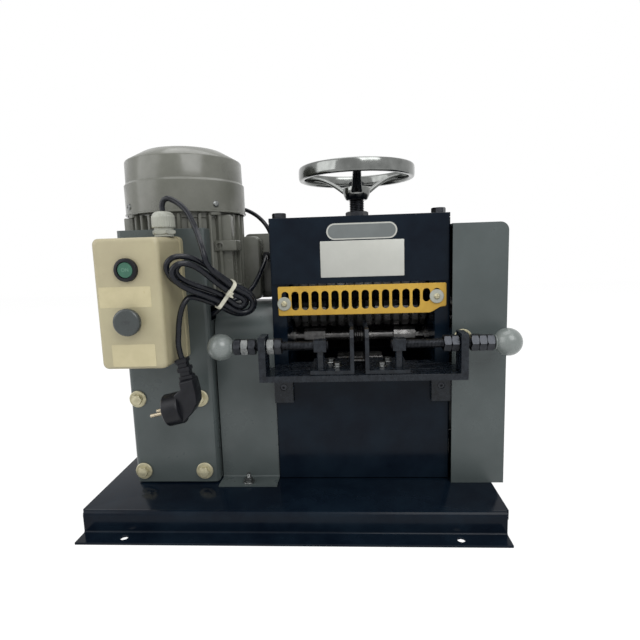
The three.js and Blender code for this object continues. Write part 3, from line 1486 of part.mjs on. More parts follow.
// The hank's middle line: its turns spiral in, climb a layer along a run and spiral out again
class HankLine extends THREE.Curve {
  constructor() {
    super();
    this.middle = new THREE.Vector3(...hankMiddle);
    this.along = new THREE.Vector3(...hankLengthwiseShares).normalize();
    this.upward = new THREE.Vector3(...hankUpwardShares).normalize();
    this.outward = new THREE.Vector3().crossVectors(this.along, this.upward).normalize();
    this.straight = 2 * cordRadius;
    this.arcLengthDivisions = hankSamples;
  }

  halfWidth(share) {
    const blend = (from, to, at) => from + (to - from) * (1 - Math.cos(Math.PI * at)) / 2;
    if (share < hankWaistShare) return blend(hankWideHalf, hankWaistHalf, (share + 1) / (hankWaistShare + 1));
    return blend(hankWaistHalf, hankEndHalf, (share - hankWaistShare) / (1 - hankWaistShare));
  }

  atTurn(turn) {
    const angle = radians(hankStartAngle) - fullTurn * turn;
    const inward = hankClimbTurn - Math.abs(turn - hankClimbTurn);
    const climb = THREE.MathUtils.smoothstep((turn - hankClimbTurn) / hankClimbTurns + 1 / 2, 0, 1);
    const along = (hankHalfLength - hankEndStep * inward) * Math.cos(angle);
    const half = this.halfWidth(along / hankHalfLength) - hankSideStep * inward;
    return this.middle.clone()
      .addScaledVector(this.along, along)
      .addScaledVector(this.upward, half * Math.sin(angle))
      .addScaledVector(this.outward, hankLayer * (1 / 2 - climb));
  }

  heading(turn) {
    const small = 1 / hankSamples;
    return this.atTurn(turn + small).sub(this.atTurn(turn - small)).normalize();
  }

  getPoint(share) {
    const endShare = 1 / (hankTurns * hankStepsPerTurn);
    if (share < endShare) {
      return this.atTurn(0).addScaledVector(this.heading(0), this.straight * (share / endShare - 1));
    }
    if (share > 1 - endShare) {
      const past = (share - 1 + endShare) / endShare;
      return this.atTurn(hankTurns).addScaledVector(this.heading(hankTurns), this.straight * past);
    }
    return this.atTurn(hankTurns * (share - endShare) / (1 - 2 * endShare));
  }
}

const hankLine = new HankLine();
const powerCordHank = () => tubeAlong(hankLine, cordRadius, hankSides, Math.round(hankTurns * hankStepsPerTurn));

// Least gap between two turns of the hank
const hankLeastGap = () => {
  const points = hankLine.getSpacedPoints(hankSamples);
  const apart = Math.ceil(4 * Math.PI * cordRadius * hankSamples / hankLine.getLength());
  let least = Infinity;
  for (let i = 0; i < points.length; i += 1) {
    for (let k = i + apart; k < points.length; k += 1) {
      least = Math.min(least, points[i].distanceTo(points[k]));
    }
  }
  return least - 2 * cordRadius;
};

const tubeThrough = (points, radius, sides) => {
  const curve = curveThrough(points);
  return tubeAlong(curve, radius, sides, Math.round(curve.getLength() / cordStep));
};

const cordLead = () => {
  const start = hankLine.getPoint(0);
  const heading = hankLine.heading(0);
  const before = start.clone().addScaledVector(heading, -gap - 2 * cordRadius);
  const end = start.clone().addScaledVector(heading, -gap);
  return tubeThrough([...routePoints(cordLeadRoute), before, end], cordRadius, cordSides);
};

const cordTail = () => {
  const heading = hankLine.heading(hankTurns);
  const first = hankLine.getPoint(1).addScaledVector(heading, gap);
  const beyond = hankLine.getPoint(1).addScaledVector(heading, gap + 2 * cordRadius);
  const neckAxis = toTop.clone().applyAxisAngle(toRear, -radians(plugTilt));
  const plugTop = new THREE.Vector3(plugX, plugY, plugZ);
  const above = plugTop.clone().addScaledVector(neckAxis, gap + 2 * cordRadius);
  const last = plugTop.clone().addScaledVector(neckAxis, gap);
  const points = [first, beyond, ...routePoints(cordTailRoute), above, last];
  return tubeThrough(points, cordRadius, cordSides);
};

const heldLead = (route) => tubeThrough(routePoints(route), leadCordRadius, leadCordSides);

// The plug, drawn upright below its neck's top at the origin, with its pins toward -X
const powerPlug = () => {
  const halfNeck = plugNeckThickness / 2;
  const neck = block(-plugNeckHalf, plugNeckHalf, -halfNeck, halfNeck, -plugNeckLength, 0);
  const grooves = [];
  for (let k = 0; k < plugRibs; k += 1) {
    const high = -plugRibStart - k * plugRibPitch;
    for (const side of [-1, 1]) {
      const [x0, x1] = ordered(side * (plugNeckHalf - plugRibDepth), side * (plugNeckHalf + overrun));
      grooves.push(block(x0, x1, -halfNeck - overrun, halfNeck + overrun, high - plugRibHeight, high));
    }
  }
  const grip = polygon(plugGripShares.map(([x, z]) => [x * plugFaceReach, z * plugFaceDrop]));
  const face = -plugFaceReach;
  const collarEnd = face + plugCollar;
  const collar = turnedX(0, -plugFaceDrop, [
    [0, face], [plugFaceRadius - plugFaceRound, face], [plugFaceRadius, face + plugFaceRound],
    [plugFaceRadius, collarEnd], [plugFaceRadius - overrun, collarEnd + overrun], [0, collarEnd + overrun],
  ], wheelSides);
  const pins = [-1, 1].map((side) => rodX(
    face - plugPinLength, face + overrun, side * plugPinSpacing / 2, -plugFaceDrop, plugPinRadius, boltSides,
  ));
  const halfGrip = plugGripThickness / 2;
  return fuse(carve(neck, ...grooves), alongY(grip, -halfGrip, halfGrip), collar, ...pins);
};

// Assembly of the drive side
const drive = unit();
place(drive, 'base_plate', basePlate(), blackPaint);
place(drive, 'motor_bracket', motorBracket(), greyPaint);
place(drive, 'gearbox_housing', gearboxHousing(), blackPaint);
bracketBoltPlaces.forEach(([x, z], k) => {
  place(drive, `bracket_bolt_${k + 1}`, washeredBolt(boltShank), zincSteel, x, bracketFront - gap, z);
});
place(drive, 'motor_housing', motorHousing(), motorPaint);
place(drive, 'motor_rotor', motorRotor(), steel);
place(drive, 'cooling_fan', coolingFan(), blackPlastic);
place(drive, 'fan_cover', fanCover(), motorPaint);
place(drive, 'terminal_box', terminalBox(), motorPaint);
place(drive, 'terminal_gland', terminalGland(), blackPlastic);
place(drive, 'motor_lead', heldLead(motorLeadRoute), cordJacket);
place(drive, 'rear_lead', heldLead(rearLeadRoute), cordJacket);

// Assembly of the starter and the mains cord
const starter = unit();
place(starter, 'starter_box', starterBox(), boxPlastic);
place(starter, 'starter_cover', starterCover(), boxPlastic);
place(starter, 'on_button_bezel', buttonBezel(), blackPlastic, buttonX, starterFront, startZ);
place(starter, 'on_button', startButton(), greenPlastic, buttonX, starterFront, startZ);
place(starter, 'off_button', stopButton(), stopPlastic, buttonX, starterFront, stopZ);
place(starter, 'starter_gland', starterGland(), glandPlastic);
place(starter, 'power_cord_lead', cordLead(), cordJacket);
place(starter, 'power_cord_hank', powerCordHank(), cordJacket);
place(starter, 'power_cord_tail', cordTail(), cordJacket);
const plug = place(starter, 'power_plug', powerPlug(), blackPlastic, plugX, plugY, plugZ);
plug.rotation.y = -radians(plugTilt);

// Assembly of the head
const head = unit();
const topBoltY = headFront + topBoltFront;
place(head, 'left_side_plate', sidePlate(headLeft), blackPaint);
place(head, 'right_side_plate', rightSidePlate(), blackPaint);
place(head, 'top_plate', topPlate(), blackPaint);
place(head, 'top_bolt_left', topBolt(), darkSteel, topBoltX(headLeft), topBoltY, headTop + gap);
place(head, 'top_bolt_right', topBolt(), darkSteel, topBoltX(laneRight), topBoltY, headTop + gap);
place(head, 'head_front_cover', headFrontCover(), blackPaint);
place(head, 'head_rear_cover', headRearCover(), blackPaint);
place(head, 'lower_front_panel', lowerFrontPanel(), blackPaint);
place(head, 'slot_plate', slotPlate(), yellowPaint);
place(head, 'coupling_cover', couplingCover(), greyPaint);
place(head, 'gear_cover', gearCover(), greyPaint);
const coverBolt = washeredBolt(boltShank - overrun);
place(head, 'gear_cover_bolt', coverBolt, zincSteel, gearCoverBoltX, gearCoverFrontY - gap, gearCoverBoltZ);

// Assembly of the shafts, in the order in which the drive reaches them
const shafts = unit();
place(shafts, 'drive_coupling', driveCoupling(), darkSteel, 0, driveY, feedZ);
place(shafts, 'feed_shaft', feedShaft(), steel, 0, driveY, feedZ);
place(shafts, 'feed_gear', feedGear(), darkSteel, 0, driveY, feedZ);
place(shafts, 'slitting_shaft', slittingShaft(), steel, 0, driveY, slittingZ);
place(shafts, 'slitting_blades', slittingBladeSet(), steel, 0, driveY, slittingZ);
place(shafts, 'slitting_gear', slittingGear(), darkSteel, 0, driveY, slittingZ);
place(shafts, 'grooved_shaft', groovedShaft(), steel, 0, driveY, groovedZ);
place(shafts, 'grooved_gear', groovedGear(), darkSteel, 0, driveY, groovedZ);
place(shafts, 'cutter_shaft', cutterShaft(), steel, 0, driveY, cutterZ);
place(shafts, 'cutter_blades', cutterBladeSet(), steel, 0, driveY, cutterZ);
place(shafts, 'cutter_gear', cutterGear(), darkSteel, 0, driveY, cutterZ);

// Assembly of the height adjustment
const adjustment = unit();
place(adjustment, 'roller_carriage', rollerCarriage(), darkSteel);
place(adjustment, 'screw_bush', screwBush(), darkSteel);
place(adjustment, 'adjusting_screw', adjustingScrew(), darkSteel);
place(adjustment, 'handwheel', handwheel(), chromed, headX, driveY, wheelLow);

// Assembly of the guide table
const guides = unit();
place(guides, 'guide_table', guideTable(), blackPaint);
for (const [name, side] of [['left', -1], ['right', 1]]) {
  place(guides, `${name}_guide`, guide(side), blackPaint);
  place(guides, `${name}_lead_screw`, leadScrew(side), darkSteel);
  place(guides, `${name}_ball_knob`, ballKnob(side), greyBakelite);
}

// The origin is the middle of the machine's footprint, on the floor
const leftEnd = -baseLength / 2 - baseLipReach;
const rightEnd = lugOuterX(1) + nutStack + 2 * knobRadius;
part.position.x = -(leftEnd + rightEnd) / 2;
console.log('least gap in the hank', hankLeastGap().toFixed(2));

export default part;
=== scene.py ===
"""An electric wire stripping machine, dressed for the render.

Its surfaces are painted steel, cast aluminium, chrome, moulded plastic and cord.
"""
from __future__ import annotations

import json
import logging
import math
from dataclasses import dataclass, field
from enum import Enum
from typing import Any, Iterable, Sequence

import bmesh
import bpy
from mathutils import Matrix, Vector

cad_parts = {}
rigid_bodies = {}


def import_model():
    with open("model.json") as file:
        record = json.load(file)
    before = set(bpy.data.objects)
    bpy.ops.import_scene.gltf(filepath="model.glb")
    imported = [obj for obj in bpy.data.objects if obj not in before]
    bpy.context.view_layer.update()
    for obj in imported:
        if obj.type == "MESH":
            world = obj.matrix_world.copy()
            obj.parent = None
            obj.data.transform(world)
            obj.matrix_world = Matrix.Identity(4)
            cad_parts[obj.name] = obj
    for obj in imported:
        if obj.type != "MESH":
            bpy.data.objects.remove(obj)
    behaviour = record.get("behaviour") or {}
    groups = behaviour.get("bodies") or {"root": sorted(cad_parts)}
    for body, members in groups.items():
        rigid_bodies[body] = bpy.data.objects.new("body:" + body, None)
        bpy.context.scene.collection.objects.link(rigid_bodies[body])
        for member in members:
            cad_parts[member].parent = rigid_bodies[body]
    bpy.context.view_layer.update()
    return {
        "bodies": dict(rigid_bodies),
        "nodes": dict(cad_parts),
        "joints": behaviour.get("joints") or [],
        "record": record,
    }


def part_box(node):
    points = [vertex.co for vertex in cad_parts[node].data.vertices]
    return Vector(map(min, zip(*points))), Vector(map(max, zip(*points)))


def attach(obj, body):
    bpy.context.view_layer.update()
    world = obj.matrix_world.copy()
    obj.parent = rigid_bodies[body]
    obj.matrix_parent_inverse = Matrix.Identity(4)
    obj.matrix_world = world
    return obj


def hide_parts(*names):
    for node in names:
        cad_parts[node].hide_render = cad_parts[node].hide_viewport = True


log = logging.getLogger("wire_stripper")
MM = 0.001
Flat = tuple[float, float]
Point = tuple[float, float, float]
ORIGIN: Point = (0, 0, 0)
# Least turns of a sharp edge, of an edge that is rounded, and of a sharp edge on a thread, in degrees
CREASE = 32.0
ROUNDED_TURN = 30.0
THREAD_CREASE = 70.0
# How many flats go round the largest turned pieces
ROUND_SIDES = 112
# The part of the noise between which a finish goes from one colour to the other
CLOUD_LOW, CLOUD_HIGH = 0.36, 0.64
LEAST_ROUGHNESS = 0.02


class Axis(Enum):
    """The way a turned or extruded piece's own Z axis lies in the machine."""

    X = (Vector((0, 1, 0)), Vector((0, 0, 1)), Vector((1, 0, 0)))
    Y = (Vector((1, 0, 0)), Vector((0, 0, 1)), Vector((0, -1, 0)))
    Z = (Vector((1, 0, 0)), Vector((0, 1, 0)), Vector((0, 0, 1)))

    def frame(self, origin: Sequence[float]) -> Matrix:
        """Gives the matrix that stands a drawn piece at a place.

        Args:
            origin: the place, in millimetres.

        Returns:
            A matrix from the drawing to the machine, both in metres.
        """
        across, high, along = self.value
        turn = Matrix((across, high, along)).transposed().to_4x4()
        return Matrix.Translation(Vector(origin) * MM) @ turn


# Nodes and colours
def linear(colour: str) -> tuple[float, float, float, float]:
    """Turns an sRGB hex colour to linear light.

    Args:
        colour: six hex digits.

    Returns:
        Red, green, blue and an alpha of 1.
    """
    parts = [int(colour[i:i + 2], 16) / 255 for i in (0, 2, 4)]
    return (*[c / 12.92 if c <= 0.04045 else ((c + 0.055) / 1.055) ** 2.4 for c in parts], 1.0)


def add_node(tree: bpy.types.NodeTree, kind: str, settings: dict[Any, Any] | None = None,
             links: dict[Any, bpy.types.NodeSocket] | None = None) -> bpy.types.Node:
    """Adds a node with its settings and links.

    Args:
        tree: the node tree.
        kind: the node's type.
        settings: attributes, or inputs by name or number, with their values.
        links: inputs by name or number, with the sockets that feed them.

    Returns:
        The new node.
    """
    node = tree.nodes.new(kind)
    for key, value in (settings or {}).items():
        if isinstance(key, str) and hasattr(node, key):
            setattr(node, key, value)
        else:
            node.inputs[key].default_value = value
    for key, socket in (links or {}).items():
        tree.links.new(socket, node.inputs[key])
    return node


# Finishes
@dataclass(frozen=True)
class Finish:
    """A surface: its colour, how that varies, its gloss and its fine relief.

    Lengths are in millimetres. The relief is an even noise, as on moulded or cast surfaces.
    """

    name: str
    colour: str
    shade: str
    patch: float = 40.0
    metallic: float = 0.0
    roughness: float = 0.4
    spread: float = 0.1
    grain: float = 1.0
    relief: float = 0.02
    coat: float = 0.0
    coat_roughness: float = 0.1
    specular: float = 0.5

    def height(self, tree: bpy.types.NodeTree, place: bpy.types.NodeSocket) -> bpy.types.NodeSocket:
        """Gives the height of the fine relief.

        Args:
            tree: the material's tree.
            place: the surface point, in metres.

        Returns:
            A socket from 0 to 1.
        """
        settings = {"Scale": 1 / (self.grain * MM), "Detail": 3.0, "Roughness": 0.6}
        return add_node(tree, "ShaderNodeTexNoise", settings, {"Vector": place}).outputs[0]

    def make(self) -> bpy.types.Material:
        """Builds the material once, and gives it again afterwards.

        Returns:
            The material.
        """
        found = bpy.data.materials.get(self.name)
        if found:
            return found
        material = bpy.data.materials.new(self.name)
        material.use_nodes = True
        tree = material.node_tree
        tree.nodes.clear()
        place = add_node(tree, "ShaderNodeTexCoord").outputs["Object"]
        broad = {"Scale": 1 / (self.patch * MM), "Detail": 5.0, "Roughness": 0.62}
        cloud = add_node(tree, "ShaderNodeTexNoise", broad, {"Vector": place}).outputs[0]
        span = {"From Min": CLOUD_LOW, "From Max": CLOUD_HIGH}
        even = add_node(tree, "ShaderNodeMapRange", span, {0: cloud}).outputs[0]
        mix = {"data_type": "RGBA", 6: linear(self.colour), 7: linear(self.shade)}
        tint = add_node(tree, "ShaderNodeMix", mix, {0: even}).outputs[2]
        half = self.spread / 2
        gloss = {"To Min": max(self.roughness - half, LEAST_ROUGHNESS), "To Max": self.roughness + half}
        rough = add_node(tree, "ShaderNodeMapRange", gloss, {0: even}).outputs[0]
        height = self.height(tree, place)
        bump = {"Strength": 1.0, "Distance": self.relief * MM}
        normal = add_node(tree, "ShaderNodeBump", bump, {"Height": height}).outputs[0]
        settings = {"Metallic": self.metallic, "Specular IOR Level": self.specular,
                    "Coat Weight": self.coat, "Coat Roughness": self.coat_roughness}
        links = {"Base Color": tint, "Roughness": rough, "Normal": normal}
        shader = add_node(tree, "ShaderNodeBsdfPrincipled", settings, links)
        add_node(tree, "ShaderNodeOutputMaterial", None, {"Surface": shader.outputs[0]})
        return material


@dataclass(frozen=True)
class DirectionalFinish(Finish):
    """A finish whose relief is drawn out one way, as brushing and turning leave it."""

    stretch: Point = (1.0, 1.0, 1.0)

    def height(self, tree: bpy.types.NodeTree, place: bpy.types.NodeSocket) -> bpy.types.NodeSocket:
        """Gives fine lines: the noise is far longer along the lay than across it.

        Args:
            tree: the material's tree.
            place: the surface point, in metres.

        Returns:
            A socket from 0 to 1.
        """
        scaled = add_node(tree, "ShaderNodeMapping", {"Scale": self.stretch}, {"Vector": place}).outputs[0]
        settings = {"Scale": 1 / (self.grain * MM), "Detail": 2.0, "Roughness": 0.5}
        return add_node(tree, "ShaderNodeTexNoise", settings, {"Vector": scaled}).outputs[0]


# Stoved enamel on steel plate: blue-black, wet gloss and a slight orange peel
BLACK_ENAMEL = Finish("black_stoved_enamel", "080f19", "0f1923", 60, roughness=0.16, spread=0.1, grain=3.2,
                      relief=0.025, specular=0.1)
# The same enamel where cable and grease have dulled it: grey scuffs and smears
WORN_ENAMEL = Finish("worn_stoved_enamel", "0a0f16", "1c2127", 7, roughness=0.26, spread=0.24, grain=1.6,
                     relief=0.04, specular=0.25)
# Sprayed machine grey on folded sheet: semi-gloss, cloudy where it was wiped
GREY_ENAMEL = Finish("grey_sprayed_enamel", "484f4f", "3f4646", 90, roughness=0.32, spread=0.14, grain=2.2,
                     relief=0.02, specular=0.35)
# Motor enamel over cast and pressed aluminium: warm grey, a little coarser
MOTOR_ENAMEL = Finish("motor_enamel_on_casting", "62635c", "565750", 50, roughness=0.24, spread=0.1,
                      grain=1.4, relief=0.02, specular=0.4)
# Powder coat on the feed plate: even warm yellow
YELLOW_COAT = Finish("yellow_powder_coat", "b9953a", "ae8a35", 30, roughness=0.4, spread=0.06, grain=0.9,
                     relief=0.015, specular=0.3)
# Ground and turned shafts, oiled: dull steel with a lay round the axis
OILED_STEEL = DirectionalFinish("oiled_turned_steel", "7c7b7a", "555555", 14, metallic=0.9, roughness=0.3,
                                spread=0.1, grain=0.7, relief=0.004, stretch=(6.0, 1.0, 1.0))
# Oil-blackened steel: screws, nuts, gears and castings that aren't painted
BLACKENED_STEEL = Finish("oil_blackened_steel", "26282c", "3a3c40", 8, metallic=0.85, roughness=0.34,
                         spread=0.16, grain=0.8, relief=0.03)
# Bright zinc plate on nuts and small screws
ZINC_PLATE = Finish("bright_zinc_plate", "8f9190", "6b6e6e", 7, metallic=0.95, roughness=0.28, spread=0.12,
                    grain=0.6, relief=0.02)
# Dulled zinc on the large bolts and washers: pale straw, chalky
PALE_ZINC = Finish("dull_passivated_zinc", "bfb99c", "a59f84", 6, metallic=0.45, roughness=0.42,
                   spread=0.12, grain=0.6, relief=0.03)
# Polished chrome plate over cast iron: mirror with fine smears and slight waviness
CHROME = Finish("polished_chrome_plate", "7f817f", "6a6c6a", 18, metallic=1.0, roughness=0.14, spread=0.1,
                grain=9.0, relief=0.08)
# Injection-moulded ABS of the starter: cream, fine spark texture
CREAM_ABS = Finish("cream_moulded_abs", "a0997c", "978f74", 70, roughness=0.42, spread=0.08, grain=0.6,
                   relief=0.012)
# Polyamide gland and washers: pale grey and waxy
WHITE_NYLON = Finish("white_moulded_polyamide", "9a9c92", "8d8f86", 20, roughness=0.38, spread=0.08,
                     grain=0.8, relief=0.012)
# Natural polyamide of the cable tie: milky
NATURAL_NYLON = Finish("natural_moulded_polyamide", "c6c4b4", "b8b6a6", 10, roughness=0.34, spread=0.08,
                       grain=0.8, relief=0.01)
# Nickel plate over the plug's brass pins, worn to a warm tint
NICKEL_PLATE = Finish("nickel_plated_brass", "aca18d", "958b78", 5, metallic=0.9, roughness=0.26,
                      spread=0.1, grain=0.5, relief=0.01)
# Black polyamide: plug, bezel, small gland, and the slats over the exit, which are painted shade keeping the
# head's inside dark
BLACK_NYLON = Finish("black_moulded_polyamide", "121317", "1a1b1f", 15, roughness=0.34, spread=0.1,
                     grain=0.5, relief=0.015, specular=0.2)
# Moulded caps of the two buttons
GREEN_ABS = Finish("green_moulded_abs", "2b5d49", "255342", 15, roughness=0.34, spread=0.06, grain=0.6,
                   relief=0.008)
GREY_ABS = Finish("grey_moulded_abs", "343a3a", "2f3434", 15, roughness=0.26, spread=0.06, grain=0.6,
                  relief=0.008)
# Phenolic ball knobs, polished in the mould
PHENOLIC = Finish("grey_moulded_phenolic", "707674", "666c6a", 18, roughness=0.28, spread=0.1, grain=1.2,
                  relief=0.01, coat=0.2)
# Flexible PVC jacket: blue-black, satin, with a soft drawn surface
PVC_JACKET = Finish("extruded_pvc_jacket", "0b0d13", "14171e", 12, roughness=0.24, spread=0.1, grain=1.0,
                    relief=0.01, specular=0.25)
# Print on buttons, and the bare plates
PALE_PRINT = Finish("pale_pad_print", "5d8573", "567c6b", 5, roughness=0.5, spread=0.05, grain=0.5,
                    relief=0.003)
DARK_PRINT = Finish("dark_pad_print", "2a2d2f", "25282a", 5, roughness=0.5, spread=0.05, grain=0.5,
                    relief=0.003)
LABEL_FILM = Finish("cream_label_film", "b4ab89", "aba281", 25, roughness=0.3, spread=0.06, grain=4.0,
                    relief=0.01)
WHITE_PLATE = Finish("offwhite_enamel_plate", "abaca6", "a4a59f", 40, roughness=0.34, spread=0.06,
                     grain=3.0, relief=0.01)
GREY_PLATE = Finish("grey_enamel_plate", "616666", "595e5e", 30, roughness=0.36, spread=0.06, grain=3.0,
                    relief=0.01)


# Shapes
def shade(mesh: bpy.types.Mesh, crease: float = CREASE) -> None:
    """Shades a mesh smooth, but for the edges that turn more than the crease, in degrees."""
    mesh.shade_smooth()
    mesh.set_sharp_from_angle(angle=math.radians(crease))


def evaluated_mesh(shown: bpy.types.Object) -> bpy.types.Mesh:
    """Gives a new mesh of an object, with its modifiers applied."""
    bpy.context.view_layer.update()
    return bpy.data.meshes.new_from_object(shown.evaluated_get(bpy.context.evaluated_depsgraph_get()))


def about_upright(place: Point, angle: float) -> Matrix:
    """Gives the matrix that moves a drawing to a place and turns it about the upright, in radians."""
    return Matrix.Translation(Vector(place) * MM) @ Matrix.Rotation(angle, 4, "Z")


def squared_off(value: float, power: float) -> float:
    """Gives a sine or cosine moved toward 1 or -1, so that a circle is drawn out toward a rectangle."""
    return math.copysign(abs(value) ** power, value)


def rod(radius: float, low: float, high: float) -> list[Flat]:
    """Gives the profile of a plain cylinder."""
    return [(0, low), (radius, low), (radius, high), (0, high)]


def disc(radius: float, low: float, high: float, bevel: float, bore: float = 0.0) -> list[Flat]:
    """Gives the profile of a disc with bevelled rims.

    Args:
        radius: its outer radius.
        low: where it starts along its axis.
        high: where it ends.
        bevel: the width of the bevels.
        bore: its inner radius.

    Returns:
        Radius and place of each corner.
    """
    return [(bore, low), (radius - bevel, low), (radius, low + bevel),
            (radius, high - bevel), (radius - bevel, high), (bore, high)]


def tube_faces(sides: int, rows: int) -> list[list[int]]:
    """Joins rings of corners to a tube with closed ends.

    Args:
        sides: how many corners a ring has.
        rows: how many bands lie between the first ring and the last.

    Returns:
        Lists of corner numbers.
    """
    faces = []
    for row in range(rows):
        low, high = row * sides, (row + 1) * sides
        for k in range(sides):
            after = (k + 1) % sides
            faces.append([low + k, low + after, high + after, high + k])
    return [*faces, list(range(sides))[::-1], list(range(rows * sides, (rows + 1) * sides))]


def object_of(name: str, mesh: bpy.types.Mesh, crease: float = CREASE) -> bpy.types.Object:
    """Makes a smooth-shaded object, with sharp edges where the faces turn quickly.

    Args:
        name: the object's name.
        mesh: its mesh.
        crease: the least turn of a sharp edge, in degrees.

    Returns:
        The object, linked to the scene.
    """
    mesh.name = name
    shade(mesh, crease)
    shown = bpy.data.objects.new(name, mesh)
    bpy.context.scene.collection.objects.link(shown)
    return shown


def mesh_from(corners: Sequence[Sequence[float]], faces: Sequence[Sequence[int]], matrix: Matrix
              ) -> bpy.types.Mesh:
    """Makes a mesh from corners in millimetres.

    Args:
        corners: the corners as drawn.
        faces: lists of corner numbers.
        matrix: from the drawing to the machine, in metres.

    Returns:
        The mesh, with its faces turned outward.
    """
    mesh = bpy.data.meshes.new("mesh")
    mesh.from_pydata([matrix @ (Vector(c) * MM) for c in corners], [], [f for f in faces if len(f) > 2])
    work = bmesh.new()
    work.from_mesh(mesh)
    bmesh.ops.remove_doubles(work, verts=work.verts, dist=0.001 * MM)
    bmesh.ops.recalc_face_normals(work, faces=work.faces)
    work.to_mesh(mesh)
    work.free()
    return mesh


def turned(name: str, profile: Sequence[Flat], axis: Axis, origin: Point,
           sides: int = 64, hexagon: bool = False) -> bpy.types.Object:
    """Turns a profile about an axis.

    Args:
        name: the piece's name.
        profile: radius and place along the axis, in millimetres.
        axis: the way that the axis lies.
        origin: where the axis starts.
        sides: how many flats go round.
        hexagon: whether it is a six-sided piece, drawn by its corner radius.

    Returns:
        The piece.
    """
    count = 6 if hexagon else sides
    corners: list[Point] = []
    rings: list[list[int]] = []
    for radius, along in profile:
        if radius < 1e-6:
            corners.append((0, 0, along))
            rings.append([len(corners) - 1] * count)
            continue
        start = len(corners)
        for k in range(count):
            angle = 2 * math.pi * k / count
            corners.append((radius * math.cos(angle), radius * math.sin(angle), along))
        rings.append(list(range(start, start + count)))
    faces = []
    for low, high in zip(rings, rings[1:]):
        for k in range(count):
            face = [low[k], low[(k + 1) % count], high[(k + 1) % count], high[k]]
            faces.append(list(dict.fromkeys(face)))
    return object_of(name, mesh_from(corners, faces, axis.frame(origin)))


def prism(name: str, outline: Sequence[Flat], low: float, high: float, axis: Axis, origin: Point = ORIGIN,
          edge: float = 0.0, steps: int = 2, turn: Matrix | None = None) -> bpy.types.Object:
    """Extrudes an outline and rounds its edges.

    Args:
        name: the piece's name.
        outline: the corners, in millimetres.
        low: where the extrusion starts along the axis.
        high: where it ends.
        axis: the way that the extrusion runs.
        origin: where the drawing's zero lies.
        edge: the width of the rounding.
        steps: how many faces make the rounding.
        turn: a further matrix, from the drawing to the machine, used instead of the axis.

    Returns:
        The piece.
    """
    count = len(outline)
    corners = [(u, v, w) for w in (low, high) for u, v in outline]
    faces = [list(range(count))[::-1], list(range(count, 2 * count))]
    faces += [[k, (k + 1) % count, (k + 1) % count + count, k + count] for k in range(count)]
    mesh = mesh_from(corners, faces, turn if turn is not None else axis.frame(origin))
    if edge:
        round_edges(mesh, edge, steps)
    return object_of(name, mesh)


def round_edges(mesh: bpy.types.Mesh, width: float, steps: int) -> None:
    """Rounds every edge that turns more than a set angle.

    Args:
        mesh: the mesh, changed in place.
        width: the rounding, in millimetres.
        steps: how many faces make the rounding.
    """
    work = bmesh.new()
    work.from_mesh(mesh)
    sharp = [e for e in work.edges if e.is_manifold and e.calc_face_angle(0) > math.radians(ROUNDED_TURN)]
    bmesh.ops.bevel(work, geom=sharp, offset=width * MM, segments=steps, profile=0.5, affect="EDGES")
    work.to_mesh(mesh)
    work.free()


def slab(name: str, low: Point, high: Point, edge: float = 0.5, steps: int = 2) -> bpy.types.Object:
    """Makes a block with rounded edges between two corners, in millimetres."""
    outline = [(low[0], low[1]), (high[0], low[1]), (high[0], high[1]), (low[0], high[1])]
    return prism(name, outline, low[2], high[2], Axis.Z, edge=edge, steps=steps)


def arc(u: float, v: float, radius: float, start: float, end: float, steps: int = 8) -> list[Flat]:
    """Gives points on an arc.

    Args:
        u: the centre's first place.
        v: the centre's second place.
        radius: the arc's radius.
        start: its first angle, in degrees.
        end: its last angle.
        steps: how many chords it has.

    Returns:
        The points in order.
    """
    angles = [math.radians(start + (end - start) * k / steps) for k in range(steps + 1)]
    return [(u + radius * math.cos(a), v + radius * math.sin(a)) for a in angles]


def rounded_rectangle(u0: float, u1: float, v0: float, v1: float, radius: float, steps: int = 8
                      ) -> list[Flat]:
    """Gives the outline of a rectangle with round corners, counter-clockwise.

    Args:
        u0: its left edge.
        u1: its right edge.
        v0: its lower edge.
        v1: its upper edge.
        radius: its corners' radius.
        steps: how many chords a corner has.

    Returns:
        The points in order, from the lower right corner.
    """
    left, right, low, high = u0 + radius, u1 - radius, v0 + radius, v1 - radius
    centres = ((right, low), (right, high), (left, high), (left, low))
    return [point for k, (u, v) in enumerate(centres)
            for point in arc(u, v, radius, 90 * k - 90, 90 * k, steps)]


def cross_recess(reach: float, half: float, low: float, high: float, matrix: Matrix
                 ) -> list[bpy.types.Object]:
    """Makes the two cutters of a screw's cross recess.

    Args:
        reach: the half length of its arms.
        half: their half width.
        low: where it starts along the screw.
        high: where the cutters end.
        matrix: from the screw's drawing to the machine.

    Returns:
        The cutters.
    """
    cutters = []
    for u, v in ((reach, half), (half, reach)):
        cutter = slab("cross", (-u, -v, low), (u, v, high), 0)
        cutter.data.transform(matrix)
        cutters.append(cutter)
    return cutters


